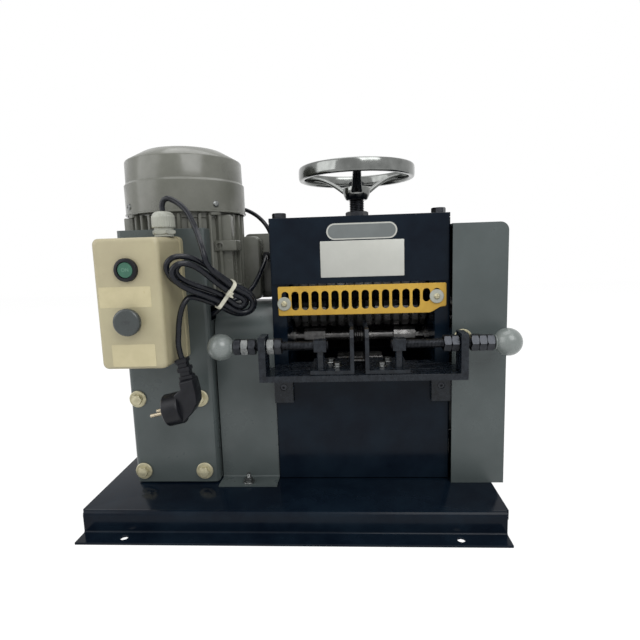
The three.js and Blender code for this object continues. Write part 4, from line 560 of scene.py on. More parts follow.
def plate(name: str, outline: Sequence[Flat], holes: Iterable[Sequence[Flat]], low: float, high: float,
          axis: Axis, origin: Point, edge: float) -> bpy.types.Object:
    """Makes a flat plate with holes through it, and softened edges.

    Args:
        name: the piece's name.
        outline: its outer edge.
        holes: the edges of its holes.
        low: where its thickness starts along the axis.
        high: where it ends.
        axis: the way that its thickness runs.
        origin: where the drawing's zero lies.
        edge: the softening of its edges.

    Returns:
        The piece.
    """
    curve = bpy.data.curves.new(name, "CURVE")
    curve.dimensions = "2D"
    curve.fill_mode = "BOTH"
    curve.extrude = ((high - low) / 2 - edge) * MM
    curve.bevel_depth = edge * MM
    curve.bevel_resolution = 1
    curve.offset = -edge * MM
    for ring in [outline, *holes]:
        spline = curve.splines.new("POLY")
        spline.points.add(len(ring) - 1)
        for point, (u, v) in zip(spline.points, ring):
            point.co = (u * MM, v * MM, 0, 1)
        spline.use_cyclic_u = True
    drawn = bpy.data.objects.new(name, curve)
    bpy.context.scene.collection.objects.link(drawn)
    mesh = evaluated_mesh(drawn)
    bpy.data.objects.remove(drawn)
    mesh.transform(axis.frame(origin) @ Matrix.Translation((0, 0, (low + high) / 2 * MM)))
    return object_of(name, mesh)


def threaded(name: str, radius: float, pitch: float, low: float, high: float, axis: Axis, origin: Point
             ) -> bpy.types.Object:
    """Makes a threaded rod whose crest winds round it.

    Args:
        name: the piece's name.
        radius: the crest's radius.
        pitch: how far the crest climbs in a turn.
        low: where the rod starts along its axis.
        high: where it ends.
        axis: the way that the axis lies.
        origin: where the axis starts.

    Returns:
        The piece.
    """
    sides = 32
    rows_per_turn = 6
    depth = 0.6 * pitch
    flank = 2.6
    rows = max(int((high - low) / pitch * rows_per_turn), 2)
    corners: list[Point] = []
    for row in range(rows + 1):
        along = low + (high - low) * row / rows
        for k in range(sides):
            phase = (along / pitch - k / sides) % 1.0
            here = radius - depth * max(0.0, 1 - abs(phase - 0.5) * flank)
            angle = 2 * math.pi * k / sides
            corners.append((here * math.cos(angle), here * math.sin(angle), along))
    return object_of(name, mesh_from(corners, tube_faces(sides, rows), axis.frame(origin)), THREAD_CREASE)


def folded(name: str, corners: Sequence[Point], sheet: float, low: float, high: float, axis: Axis
           ) -> bpy.types.Object:
    """Folds a strip of sheet along its middle line.

    Args:
        name: the piece's name.
        corners: each corner of the middle line, with its bend radius.
        sheet: the sheet's thickness.
        low: where the strip starts along the axis.
        high: where it ends.
        axis: the way that the strip's width runs.

    Returns:
        The piece.
    """
    bend_steps = 10
    points = [Vector(c[:2]) for c in corners]
    line: list[Vector] = [points[0]]
    for before, here, after, (_, _, bend) in zip(points, points[1:], points[2:], corners[1:]):
        coming = (here - before).normalized()
        going = (after - here).normalized()
        turn = math.atan2(coming.x * going.y - coming.y * going.x, coming.dot(going))
        first = here - coming * bend * math.tan(abs(turn) / 2)
        centre = first + Vector((-coming.y, coming.x)) * math.copysign(1, turn) * bend
        start = math.atan2((first - centre).y, (first - centre).x)
        for k in range(bend_steps + 1):
            angle = start + turn * k / bend_steps
            line.append(centre + Vector((math.cos(angle), math.sin(angle))) * bend)
    line.append(points[-1])
    left, right = [], []
    for index, point in enumerate(line):
        heading = (line[min(index + 1, len(line) - 1)] - line[max(index - 1, 0)]).normalized()
        normal = Vector((-heading.y, heading.x)) * sheet / 2
        left.append(tuple(point + normal))
        right.insert(0, tuple(point - normal))
    return prism(name, left + right, low, high, axis)


def carved(body: bpy.types.Object, cutters: Sequence[bpy.types.Object]) -> bpy.types.Object:
    """Cuts shapes out of a piece.

    Args:
        body: the piece, changed in place.
        cutters: the shapes, which are used up.

    Returns:
        The piece.
    """
    for cutter in cutters:
        modifier = body.modifiers.new("cut", "BOOLEAN")
        modifier.operation = "DIFFERENCE"
        modifier.solver = "EXACT"
        modifier.object = cutter
    mesh = evaluated_mesh(body)
    body.modifiers.clear()
    body.data = mesh
    shade(mesh)
    for cutter in cutters:
        bpy.data.objects.remove(cutter)
    return body


# Dressing
def dress(shown: bpy.types.Object, finish: Finish) -> bpy.types.Object:
    """Gives an object a finish.

    Args:
        shown: the object.
        finish: its finish.

    Returns:
        The object.
    """
    if not shown.material_slots:
        shown.data.materials.append(None)
    for slot in shown.material_slots:
        slot.link = "OBJECT"
        slot.material = finish.make()
    return shown


class Assembly:
    """A sub-assembly that is built on one body of the frame."""

    frame: dict[str, Any]
    body = "frame"
    weld_gap = 0.02
    flat_turn = 1.0
    bevel_turn = 35.0

    def node(self, name: str, finish: Finish, edge: float = 0.0) -> bpy.types.Object:
        """Dresses a solid of the frame, and softens its edges.

        Args:
            name: the solid's name.
            finish: its finish.
            edge: the width of the softened edge, in millimetres.

        Returns:
            The solid's object.
        """
        solid = self.frame["nodes"][name]
        dress(solid, finish)
        if edge:
            weld = solid.modifiers.new("weld", "WELD")
            weld.merge_threshold = self.weld_gap * MM
            flat = solid.modifiers.new("flat", "DECIMATE")
            flat.decimate_type = "DISSOLVE"
            flat.angle_limit = math.radians(self.flat_turn)
            bevel = solid.modifiers.new("bevel", "BEVEL")
            bevel.width = edge * MM
            bevel.segments = 2
            bevel.limit_method = "ANGLE"
            bevel.angle_limit = math.radians(self.bevel_turn)
        return solid

    def piece(self, shown: bpy.types.Object, finish: Finish, slot: str, *replaced: str,
              body: str | None = None) -> bpy.types.Object:
        """Adds a piece to the machine.

        Args:
            shown: the piece.
            finish: its finish.
            slot: the record's material slot; not used.
            replaced: the solids that it stands for.
            body: the body that it rides on, where that isn't the assembly's own.

        Returns:
            The piece.
        """
        dress(shown, finish)
        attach(shown, body or self.body)
        if replaced:
            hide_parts(*replaced)
        log.info("piece %s", shown.name)
        return shown

    def span(self, name: str) -> tuple[Vector, Vector]:
        """Gives a solid's lowest and highest corners, in millimetres."""
        low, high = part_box(name)
        return Vector(low) / MM, Vector(high) / MM

    def middle(self, name: str) -> Vector:
        """Gives the middle of a solid's box, in millimetres."""
        low, high = self.span(name)
        return (low + high) / 2

    def hexagon(self, name: str, radius: float, low: float, high: float, axis: Axis, origin: Point
                ) -> bpy.types.Object:
        """Makes a hexagon head or nut with chamfered ends.

        Args:
            name: the piece's name.
            radius: the radius over its corners.
            low: where it starts along the axis.
            high: where it ends.
            axis: the way that the axis lies.
            origin: where the axis starts.

        Returns:
            The piece.
        """
        bevel = radius * 0.13
        rise = bevel * 0.6
        rim, clear = radius - bevel, radius + 0.01
        nut = turned(name, rod(radius, low, high), axis, origin, hexagon=True)
        cone = [(0, low), (rim, low), (clear, low + rise), (clear, high - rise), (rim, high), (0, high)]
        guard = turned("guard", cone, axis, origin, 48)
        modifier = nut.modifiers.new("chamfer", "BOOLEAN")
        modifier.operation = "INTERSECT"
        modifier.object = guard
        mesh = evaluated_mesh(nut)
        nut.modifiers.clear()
        nut.data = mesh
        shade(mesh, 20)
        bpy.data.objects.remove(guard)
        return nut


# Light, floor and camera
@dataclass
class Studio:
    """The floor, the light and the camera, which stands where the photographer stood."""

    place: Point = (69.6, -716.0, 352.3)
    yaw: float = 3.6
    pitch: float = 8.0
    roll: float = -1.8
    focal_pixels: float = 470.0
    frame_pixels: float = 640.0
    sensor: float = 36.0
    floor_half: float = 4000.0
    floor_tone: float = 0.88
    floor_glow: float = 1.1
    floor_share: float = 0.82
    lit_strength: float = 0.55
    seen_strength: float = 1.0

    # Name, place and aim in metres, side in metres and power in watts
    LAMPS = (("key", (0.9, -1.6, 1.7), (0, 0, 0.25), 1.4, 30),
             ("fill", (-1.7, -1.0, 1.1), (0, 0, 0.25), 1.6, 16),
             ("top", (0, 0.2, 2.1), (0, 0, 0.2), 1.6, 16))

    def camera(self) -> None:
        """Places the camera."""
        yaw, pitch, roll = (math.radians(v) for v in (self.yaw, self.pitch, self.roll))
        sight = Vector((-math.sin(yaw) * math.cos(pitch), math.cos(yaw) * math.cos(pitch), -math.sin(pitch)))
        level = sight.cross(Vector((0, 0, 1))).normalized()
        upright = level.cross(sight)
        across = level * math.cos(roll) + upright * math.sin(roll)
        high = upright * math.cos(roll) - level * math.sin(roll)
        lens = bpy.data.cameras.new("camera")
        lens.sensor_width = self.sensor
        lens.lens = self.focal_pixels / self.frame_pixels * self.sensor
        lens.clip_start = 0.01
        holder = bpy.data.objects.new("camera", lens)
        turn = Matrix((across, high, -sight)).transposed().to_4x4()
        holder.matrix_world = Matrix.Translation(Vector(self.place) * MM) @ turn
        bpy.context.scene.collection.objects.link(holder)
        bpy.context.scene.camera = holder

    def lamp(self, name: str, place: Point, aim: Point, size: float, watts: float) -> None:
        """Adds a square lamp.

        Args:
            name: the lamp's name.
            place: where it stands, in metres.
            aim: the point that it faces.
            size: its side, in metres.
            watts: its power.
        """
        light = bpy.data.lights.new(name, "AREA")
        light.size = size
        light.energy = watts
        holder = bpy.data.objects.new(name, light)
        holder.location = place
        holder.rotation_euler = (Vector(aim) - Vector(place)).to_track_quat("-Z", "Y").to_euler()
        bpy.context.scene.collection.objects.link(holder)

    def seen_white(self, tree: bpy.types.NodeTree) -> bpy.types.NodeSocket:
        """Tells the rays of the camera, of mirrors and of glass from those that carry light.

        Args:
            tree: the node tree.

        Returns:
            A socket that is 1 for the former and 0 for the latter.
        """
        path = add_node(tree, "ShaderNodeLightPath").outputs
        mirror = add_node(tree, "ShaderNodeMath", {"operation": "MAXIMUM"},
                          {0: path["Is Glossy Ray"], 1: path["Is Transmission Ray"]}).outputs[0]
        return add_node(tree, "ShaderNodeMath", {"operation": "MAXIMUM"},
                        {0: path["Is Camera Ray"], 1: mirror}).outputs[0]

    def surroundings(self) -> None:
        """Makes the white surroundings and the pale floor."""
        world = bpy.data.worlds.new("studio")
        world.use_nodes = True
        tree = world.node_tree
        tree.nodes.clear()
        span = {"To Min": self.lit_strength, "To Max": self.seen_strength}
        strength = add_node(tree, "ShaderNodeMapRange", span, {0: self.seen_white(tree)}).outputs[0]
        glow = add_node(tree, "ShaderNodeBackground", {"Color": (1, 1, 1, 1)}, {"Strength": strength})
        add_node(tree, "ShaderNodeOutputWorld", None, {"Surface": glow.outputs[0]})
        bpy.context.scene.world = world
        half = self.floor_half
        corners = [(-half, -half, 0), (half, -half, 0), (half, half, 0), (-half, half, 0)]
        floor = object_of("floor", mesh_from(corners, [[0, 1, 2, 3]], Matrix.Identity(4)))
        material = bpy.data.materials.new("pale_floor")
        material.use_nodes = True
        tree = material.node_tree
        tree.nodes.clear()
        tone, glowing = (self.floor_tone,) * 3, {"Color": (1, 1, 1, 1), "Strength": self.floor_glow}
        matt = add_node(tree, "ShaderNodeBsdfDiffuse", {"Color": (*tone, 1)}).outputs[0]
        white = add_node(tree, "ShaderNodeEmission", glowing).outputs[0]
        scaled = {"operation": "MULTIPLY", 1: self.floor_share}
        share = add_node(tree, "ShaderNodeMath", scaled, {0: self.seen_white(tree)}).outputs[0]
        mixed = add_node(tree, "ShaderNodeMixShader", None, {0: share, 1: matt, 2: white}).outputs[0]
        add_node(tree, "ShaderNodeOutputMaterial", None, {"Surface": mixed})
        floor.data.materials.append(material)

    def build(self) -> None:
        """Sets up the camera, the surroundings and the lamps."""
        self.camera()
        self.surroundings()
        for lamp in self.LAMPS:
            self.lamp(*lamp)
        bpy.context.scene.view_settings.view_transform = "Standard"


# Cords
def smooth_line(points: Sequence[Vector], steps: int) -> list[Vector]:
    """Runs a centripetal curve through points.

    Args:
        points: the points that it passes.
        steps: how many chords lie between two of them.

    Returns:
        Points along the curve.
    """
    ends = [points[0] * 2 - points[1], *points, points[-1] * 2 - points[-2]]
    line = []
    for a, b, c, d in zip(ends, ends[1:], ends[2:], ends[3:]):
        t1 = (b - a).length ** 0.5
        t2 = t1 + (c - b).length ** 0.5
        t3 = t2 + (d - c).length ** 0.5
        for k in range(steps):
            t = t1 + (t2 - t1) * k / steps
            ab = a.lerp(b, t / t1)
            bc = b.lerp(c, (t - t1) / (t2 - t1))
            cd = c.lerp(d, (t - t2) / (t3 - t2))
            line.append(ab.lerp(bc, t / t2).lerp(bc.lerp(cd, (t - t1) / (t3 - t1)), (t - t1) / (t2 - t1)))
    return [*line, points[-1]]


@dataclass
class Hank:
    """The power cord's nested loops in two layers, drawn in at a waist."""

    middle: Point = (-101.9, -134.5, 315.5)
    lengthwise: Point = (0.65, 0.577, -0.504)
    upward: Point = (0.616, 0.0, 0.794)
    turns: float = 3.5
    climb_turn: float = 1.5
    climb_turns: float = 0.5
    start_angle: float = 95.0
    half_length: float = 65.0
    wide_half: float = 27.0
    waist_half: float = 15.6
    end_half: float = 25.0
    waist_share: float = 0.32
    side_step: float = 8.5
    end_step: float = 13.0
    layer: float = 8.2
    bluntness: float = 0.25
    steps_per_turn: int = 48

    def axes(self) -> tuple[Vector, Vector, Vector]:
        """Gives the directions along, across and out of the hank, each of unit length."""
        along = Vector(self.lengthwise).normalized()
        upward = Vector(self.upward).normalized()
        return along, upward, along.cross(upward).normalized()

    def half_width(self, share: float) -> float:
        """Gives the outer loop's half width, which is least at the waist.

        Args:
            share: the place along the hank, from -1 at one end to 1 at the other.

        Returns:
            The half width, in millimetres.
        """
        def blend(start: float, end: float, at: float) -> float:
            return start + (end - start) * (1 - math.cos(math.pi * at)) / 2
        if share < self.waist_share:
            return blend(self.wide_half, self.waist_half, (share + 1) / (self.waist_share + 1))
        return blend(self.waist_half, self.end_half, (share - self.waist_share) / (1 - self.waist_share))

    def at_turn(self, turn: float) -> Vector:
        """Gives a point of the cord's middle line.

        Args:
            turn: how many turns lie between the first point and this one.

        Returns:
            The point, in millimetres.
        """
        angle = math.radians(self.start_angle) - 2 * math.pi * turn
        inward = self.climb_turn - abs(turn - self.climb_turn)
        at = min(max((turn - self.climb_turn) / self.climb_turns + 0.5, 0), 1)
        climb = at * at * (3 - 2 * at)
        power = 1 - self.bluntness * max(inward, 0) / self.climb_turn
        across, high = squared_off(math.cos(angle), power), squared_off(math.sin(angle), power)
        length = (self.half_length - self.end_step * inward) * across
        half = self.half_width(length / self.half_length) - self.side_step * inward
        along, upward, outward = self.axes()
        centre = Vector(self.middle) + along * length
        return centre + upward * half * high + outward * self.layer * (0.5 - climb)

    def line(self) -> list[Vector]:
        """Gives points from the first turn to the last."""
        count = round(self.turns * self.steps_per_turn)
        return [self.at_turn(self.turns * k / count) for k in range(count + 1)]


@dataclass
class Cords(Assembly):
    """The power cord with its hank and plug, and the two leads between the boxes and the motor."""

    frame: dict[str, Any]
    cord_radius: float = 3.5
    lead_radius: float = 3.25
    cord_steps: int = 5
    lead_steps: int = 6
    shift: float = -11.4
    approach: float = 7.3
    tie_gap: float = 0.3
    tie_sheet: float = 1.3
    tie_half: float = 2.4
    plug: Point = (-141.4, -150.0, 228.0)
    tilt: float = 13.0
    ribs: int = 7
    rib_pitch: float = 5.5
    rib_depth: float = 1.9
    neck_half: float = 7.4
    neck_growth: float = 0.27
    neck_half_depth: float = 7.0
    neck_end: float = -40.0
    grip_half_depth: float = 12.5
    face_place: float = -60.5
    pin_spacing: float = 19.0
    hank: Hank = field(default_factory=Hank)

    CORD_LEAD = [
        (-153, -117.3, 412.6), (-153, -117.3, 419.7), (-150.4, -118, 425.4), (-144.6, -119.6, 427.6),
        (-137, -121, 425), (-126.4, -124, 418), (-118.2, -127, 409.6), (-112, -130, 399.5),
        (-106, -134, 387.5), (-100.5, -142, 377), (-95, -150.5, 366), (-91.5, -154.5, 355),
        (-90, -153.5, 347),
    ]
    CORD_TAIL = [
        (-117.5, -141.2, 303.6), (-122.6, -146, 298), (-126.4, -149.2, 288.4), (-129.4, -150.6, 275.4),
        (-131.4, -150.6, 260), (-132.8, -150.2, 247),
    ]
    MOTOR_LEAD = [
        (-46, 21.4, 351.3), (-46, 14, 351.3), (-44.5, 2, 349), (-44, -10, 343), (-47, -22, 332),
        (-52, -31, 319), (-58, -42, 307), (-66, -54, 299), (-77, -64, 293.5), (-89, -70, 287.5),
        (-99, -71.5, 281), (-106, -71.5, 275.5), (-115, -71, 271.5), (-125, -73.5, 271.5), (-134, -77.5, 276),
        (-139.5, -80.5, 285), (-145, -79.5, 296), (-149.6, -80, 303.6), (-151, -86.4, 306), (-151, -97, 306),
    ]
    REAR_LEAD = [
        (-46, 44.4, 372), (-46, 52, 372), (-45, 58, 377), (-44.5, 56, 388), (-51, 54, 402),
        (-63, 56, 415), (-79, 62, 425), (-98, 79, 431), (-122, 96, 431), (-144, 106, 423),
        (-157, 109, 411), (-161, 107, 405.4), (-162, 103, 403.6), (-162, 95.4, 403.6),
    ]
    # Corners of the grip's side, in the plug's own frame
    GRIP = [
        (9, -27.2), (8.5, -44.8), (6, -58.5), (-3, -68.5), (-16, -77.4), (-20.1, -78.6),
        (-20.1, -41.7), (-9, -36.3), (-9, -27.2),
    ]
    # Radius and place along the pins of the plug's round face and of a pin
    FACE = [(0, -38), (19.3, -38), (20.5, -36.8), (20.5, -18.5), (19.4, -17), (0, -16.5)]
    PIN = [(0, -57), (1.6, -57), (2.4, -55.8), (2.4, -38), (2.4, -36), (0, -36)]

    def route(self, points: Sequence[Point]) -> list[Vector]:
        """Moves a route by the shift in x, to where the machine stands."""
        return [Vector((x + self.shift, y, z)) for x, y, z in points]

    def tube(self, name: str, line: Sequence[Vector], radius: float) -> bpy.types.Object:
        """Makes a cord as one open curve.

        Args:
            name: the cord's name.
            line: its middle line, in millimetres.
            radius: its radius.

        Returns:
            The cord.
        """
        curve = bpy.data.curves.new(name, "CURVE")
        curve.dimensions = "3D"
        curve.bevel_depth = radius * MM
        curve.bevel_resolution = 5
        curve.use_fill_caps = True
        spline = curve.splines.new("POLY")
        spline.points.add(len(line) - 1)
        for point, place in zip(spline.points, line):
            point.co = (*(place * MM), 1)
        spline.use_smooth = True
        shown = bpy.data.objects.new(name, curve)
        bpy.context.scene.collection.objects.link(shown)
        return shown

    def power_cord(self, held: list[bpy.types.Object]) -> None:
        """Makes the power cord in one length, from the gland to the plug.

        Args:
            held: the pieces that the cord carries; not used.
        """
        axis = Matrix.Rotation(math.radians(-self.tilt), 3, "Y") @ Vector((0, 0, 1))
        top = Vector(self.plug)
        loops = self.hank.line()
        before = loops[0] + (loops[0] - loops[1]).normalized() * self.approach
        beyond = loops[-1] + (loops[-1] - loops[-2]).normalized() * self.approach
        coming = [*self.route(self.CORD_LEAD), before, loops[0]]
        going = [loops[-1], beyond, *self.route(self.CORD_TAIL), top + axis * self.approach, top]
        line = [*smooth_line(coming, self.cord_steps)[:-1], *loops, *smooth_line(going, self.cord_steps)[1:]]
        cord = self.tube("power_cord", line, self.cord_radius)
        self.piece(cord, PVC_JACKET, "cord_jacket", "power_cord_lead", "power_cord_hank", "power_cord_tail")

    def leads(self) -> None:
        """Makes the two leads that the motor's boxes hold at both ends."""
        for name, points in (("motor_lead", self.MOTOR_LEAD), ("rear_lead", self.REAR_LEAD)):
            line = smooth_line(self.route(points), self.lead_steps)
            shown = self.tube(f"{name}_jacket", line, self.lead_radius)
            self.piece(shown, PVC_JACKET, "cord_jacket", name)

    def tie(self) -> bpy.types.Object:
        """Makes the nylon tie round the hank's waist, with its lock and its cut end.

        Returns:
            The tie's strap.
        """
        along, upward, outward = self.hank.axes()
        centre = Vector(self.hank.middle) + along * self.hank.half_length * self.hank.waist_share
        matrix = Matrix.Translation(centre * MM) @ Matrix((outward, upward, along)).transposed().to_4x4()
        high = self.hank.waist_half + self.cord_radius + self.tie_gap
        wide = self.hank.layer / 2 + self.cord_radius + self.tie_gap
        sheet, half = self.tie_sheet, self.tie_half
        outer = rounded_rectangle(-wide - sheet, wide + sheet, -high - sheet, high + sheet, 6)
        inner = rounded_rectangle(-wide, wide, -high, high, 6 - sheet)
        corners = [(u, v, w) for w in (-half, half) for ring in (outer, inner) for u, v in ring]
        count = len(outer)
        faces = []
        for a, b in ((0, 1), (1, 3), (3, 2), (2, 0)):
            for k in range(count):
                after = (k + 1) % count
                faces.append([a * count + k, a * count + after, b * count + after, b * count + k])
        strap = object_of("cord_tie", mesh_from(corners, faces, matrix))
        lock_outline = rounded_rectangle(wide, wide + 5, 2, 9, 1.2)
        lock = prism("cord_tie_lock", lock_outline, -3.4, 3.4, Axis.Z, edge=0.5, turn=matrix)
        end_outline = rounded_rectangle(wide + 4, wide + 12, 4.6, 6, 0.6)
        end = prism("cord_tie_end", end_outline, -half, half, Axis.Z, turn=matrix)
        for shown in (strap, lock, end):
            self.piece(shown, NATURAL_NYLON, "gland_plastic")
        return strap

    def plug_pieces(self) -> list[bpy.types.Object]:
        """Makes the angled plug: ribbed neck, grip, round face and pins.

        Returns:
            Its pieces.
        """
        lean = Matrix.Rotation(math.radians(-self.tilt), 4, "Y")
        matrix = Matrix.Translation(Vector(self.plug) * MM) @ lean
        side = matrix @ Axis.Y.frame(ORIGIN)
        made = []
        for k in range(self.ribs):
            narrow = self.rib_depth if k % 2 else 0.0
            high = -self.rib_pitch * k
            low = high - self.rib_pitch if k < self.ribs - 1 else self.neck_end
            half = self.neck_half + self.neck_growth * k - narrow
            deep = self.neck_half_depth - narrow / 2
            outline = [(-half, low), (half, low), (half, high), (-half, high)]
            made.append(prism(f"plug_neck_{k}", outline, -deep, deep, Axis.Y, edge=0.8, turn=side))
        deep = self.grip_half_depth
        made.append(prism("plug_grip", self.GRIP, -deep, deep, Axis.Y, edge=2.2, steps=4, turn=side))
        across = matrix @ Matrix.Translation((0, 0, self.face_place * MM)) @ Axis.X.frame(ORIGIN)
        round_face = turned("plug_face", self.FACE, Axis.Z, ORIGIN)
        round_face.data.transform(across)
        made.append(round_face)
        for shown in made:
            self.piece(shown, BLACK_NYLON, "black_plastic", "power_plug")
        for sign in (-1, 1):
            pin = turned(f"plug_pin_{sign + 2}", self.PIN, Axis.Z, ORIGIN, 24)
            pin.data.transform(across @ Matrix.Translation((sign * self.pin_spacing / 2 * MM, 0, 0)))
            made.append(self.piece(pin, NICKEL_PLATE, "steel"))
        return made

    def build(self) -> None:
        """Makes the cords and the plug."""
        plug = self.plug_pieces()
        self.power_cord([*plug, self.tie()])
        self.leads()


# The base, and what is bolted to it
@dataclass
class Base(Assembly):
    """The folded base and the bolts that hold the coupling cover's foot to it."""

    frame: dict[str, Any]
    foot_sheet: float = 2.0
    bolt_inset: float = 11.0

    def build(self) -> None:
        """Dresses the base and adds its bolts."""
        self.node("base_plate", BLACK_ENAMEL, 0.8)
        low, high = self.span("coupling_cover")
        x = (low.x + high.x) / 2
        for index, y in enumerate((low.y + self.bolt_inset, high.y - self.bolt_inset)):
            self.bolt(f"cover_foot_bolt_{index + 1}", (x, y, low.z + self.foot_sheet))

    def bolt(self, name: str, place: Point) -> None:
        """Adds an upright bolt with its washer and its thread's end.

        Args:
            name: the bolt's name.
            place: the middle of the washer's underside.
        """
        self.piece(turned(f"{name}_washer", disc(8.6, 0, 1.6, 0.4), Axis.Z, place), ZINC_PLATE, "steel")
        self.piece(self.hexagon(name, 6.4, 1.6, 6.6, Axis.Z, place), ZINC_PLATE, "steel")
        self.piece(threaded(f"{name}_stud", 3, 0.8, 6, 13, Axis.Z, place), ZINC_PLATE, "steel")


# Motor
@dataclass
class Motor(Assembly):
    """The finned motor, its fan cover, its terminal box and its bracket."""

    frame: dict[str, Any]
    root: float = 76.5
    tip: float = 84.0
    fins: int = 36
    flange: float = 80.0
    flange_height: float = 12.0
    body_height: float = 103.0
    shield_rise: float = 6.0
    bore: float = 10.0
    lugs: int = 4
    cover_sheet: float = 2.0
    cover_inset: float = 4.2
    cover_step: float = 43.0
    cover_step_height: float = 3.2
    cover_step_depth: float = 2.4
    cover_crown: float = 16.0
    cover_crown_radius: float = 57.0
    cover_screws: int = 4
    cover_screw_height: float = 11.0
    vents: int = 16
    vent_inner: float = 16.0
    vent_outer: float = 50.0
    vent_half: float = 2.5
    vent_corner: float = 2.4
    pad_inner: float = 54.0
    pad_outer: float = 86.0
    strip_outer: float = 78.0
    pad_front: float = 56.0
    strip_front: float = 48.0
    pad_rear: float = 20.0
    pad_height: float = 15.0
    pad_spacing: float = 62.0
    pad_hole: float = 62.0
    box_start: float = 79.0
    box_corner: float = 8.0
    box_plate: float = 5.0
    box_border: float = 15.0

    def centre(self) -> Vector:
        """Gives the middle of the motor's shaft."""
        return self.middle("motor_rotor")

    def cover_profile(self, radius: float, low: float, top: float, inward: float) -> list[Flat]:
        """Gives one face of the fan cover's sheet, from the open end to the axis.

        Args:
            radius: the cover's outer radius.
            low: the open end's height.
            top: the crown's height.
            inward: how far the face lies inside the outer one.

        Returns:
            Radius and height of each point.
        """
        outer = radius - inward
        upper = outer - self.cover_step_depth
        step = low + self.cover_step
        crown = top - self.cover_crown
        flat = self.cover_crown_radius
        return [(outer, low), (outer, step), (upper, step + self.cover_step_height),
                (upper - 0.5, crown - 1.5), (upper - 1.6, crown + 0.4), (flat + 3, top - 2.6 - inward),
                (flat, top - 1.2 - inward), (flat - 5, top - inward), (0, top - inward)]

    def fan_cover(self) -> None:
        """Turns the pressed fan cover, cuts its vents and adds its bead."""
        low, high = self.span("fan_cover")
        place = (self.centre().x, self.centre().y, 0)
        radius = (high.x - low.x) / 2 - self.cover_inset
        outer = self.cover_profile(radius, low.z, high.z, 0)
        inner = self.cover_profile(radius, low.z, high.z, self.cover_sheet)
        shell = turned("fan_cover_shell", [*outer, *inner[::-1], (radius, low.z)], Axis.Z, place, ROUND_SIDES)
        half = self.vent_half
        vent = rounded_rectangle(self.vent_inner, self.vent_outer, -half, half, self.vent_corner)
        slots = []
        for k in range(self.vents):
            turn = about_upright(place, 2 * math.pi * k / self.vents)
            slots.append(prism("slot", vent, high.z - 5, high.z + 3, Axis.Z, turn=turn))
        self.piece(carved(shell, slots), MOTOR_ENAMEL, "motor_paint", "fan_cover")
        swell = radius + 1.1
        profile = [(radius, low.z), (swell, low.z + 0.8), (swell, low.z + 2.4), (radius, low.z + 3.2)]
        bead = turned("fan_cover_bead", profile, Axis.Z, place, ROUND_SIDES)
        self.piece(bead, MOTOR_ENAMEL, "motor_paint")
        self.cover_screw_heads(place, radius - 0.4, low.z + self.cover_screw_height)

    def cover_screw_heads(self, place: Point, radius: float, height: float) -> None:
        """Adds the cross-slotted screws round the fan cover.

        Args:
            place: the foot of the motor's axis.
            radius: how far from the axis the heads start.
            height: how high they are.
        """
        profile = [(0, 0), (4.4, 0), (4.4, 1.4), (3.4, 2.8), (1.6, 3.3), (0, 3.3)]
        out = Matrix.Translation((radius * MM, 0, height * MM)) @ Axis.X.frame(ORIGIN)
        for k in range(self.cover_screws):
            turn = about_upright(place, 2 * math.pi * (k + 0.5) / self.cover_screws) @ out
            screw = turned(f"fan_cover_screw_{k + 1}", profile, Axis.Z, ORIGIN, 32)
            screw.data.transform(turn)
            self.piece(carved(screw, cross_recess(3, 0.5, 2.2, 5, turn)), ZINC_PLATE, "steel")

    def fin_outline(self) -> list[Flat]:
        """Gives the outline of the finned body, with rounded fin tips.

        Returns:
            The corners, once round.
        """
        shoulder = self.tip - 1.2
        shape = ((self.root, -0.46), (shoulder, -0.32), (self.tip, -0.18),
                 (self.tip, 0.18), (shoulder, 0.32), (self.root, 0.46))
        outline = []
        for k in range(self.fins):
            for radius, share in shape:
                angle = 2 * math.pi * (k + share / 2) / self.fins
                outline.append((radius * math.cos(angle), radius * math.sin(angle)))
        return outline

    def housing(self) -> None:
        """Makes the finned body, its flange and its shield, its pads and its lugs."""
        low, _ = self.span("motor_housing")
        place = (self.centre().x, self.centre().y, low.z)
        body_low = self.flange_height
        body_high = body_low + self.body_height
        fins_high = body_high + self.flange_height
        body = prism("motor_fins", self.fin_outline(), body_low - 1, fins_high, Axis.Z, place)
        self.piece(body, MOTOR_ENAMEL, "motor_paint", "motor_housing")
        rings = (("motor_flange", 0.0, self.flange),
                 ("motor_shield", body_high + self.shield_rise, self.root + 1.5))
        for name, start, rim in rings:
            ring = disc(rim, start, start + self.flange_height, 1.5, self.bore)
            self.piece(turned(name, ring, Axis.Z, place, ROUND_SIDES), MOTOR_ENAMEL, "motor_paint")
        lug_outline = rounded_rectangle(72, 86.8, -8, 8, 3)
        for k in range(self.lugs):
            turn = about_upright(place, 2 * math.pi * (k + 0.5) / self.lugs)
            lug = prism(f"motor_lug_{k + 1}", lug_outline, body_high + 10, body_high + 27, Axis.Z, edge=1,
                        turn=turn)
            self.piece(lug, MOTOR_ENAMEL, "motor_paint")
        for side in (-1, 1):
            self.pads(side, place, body_low + 1)

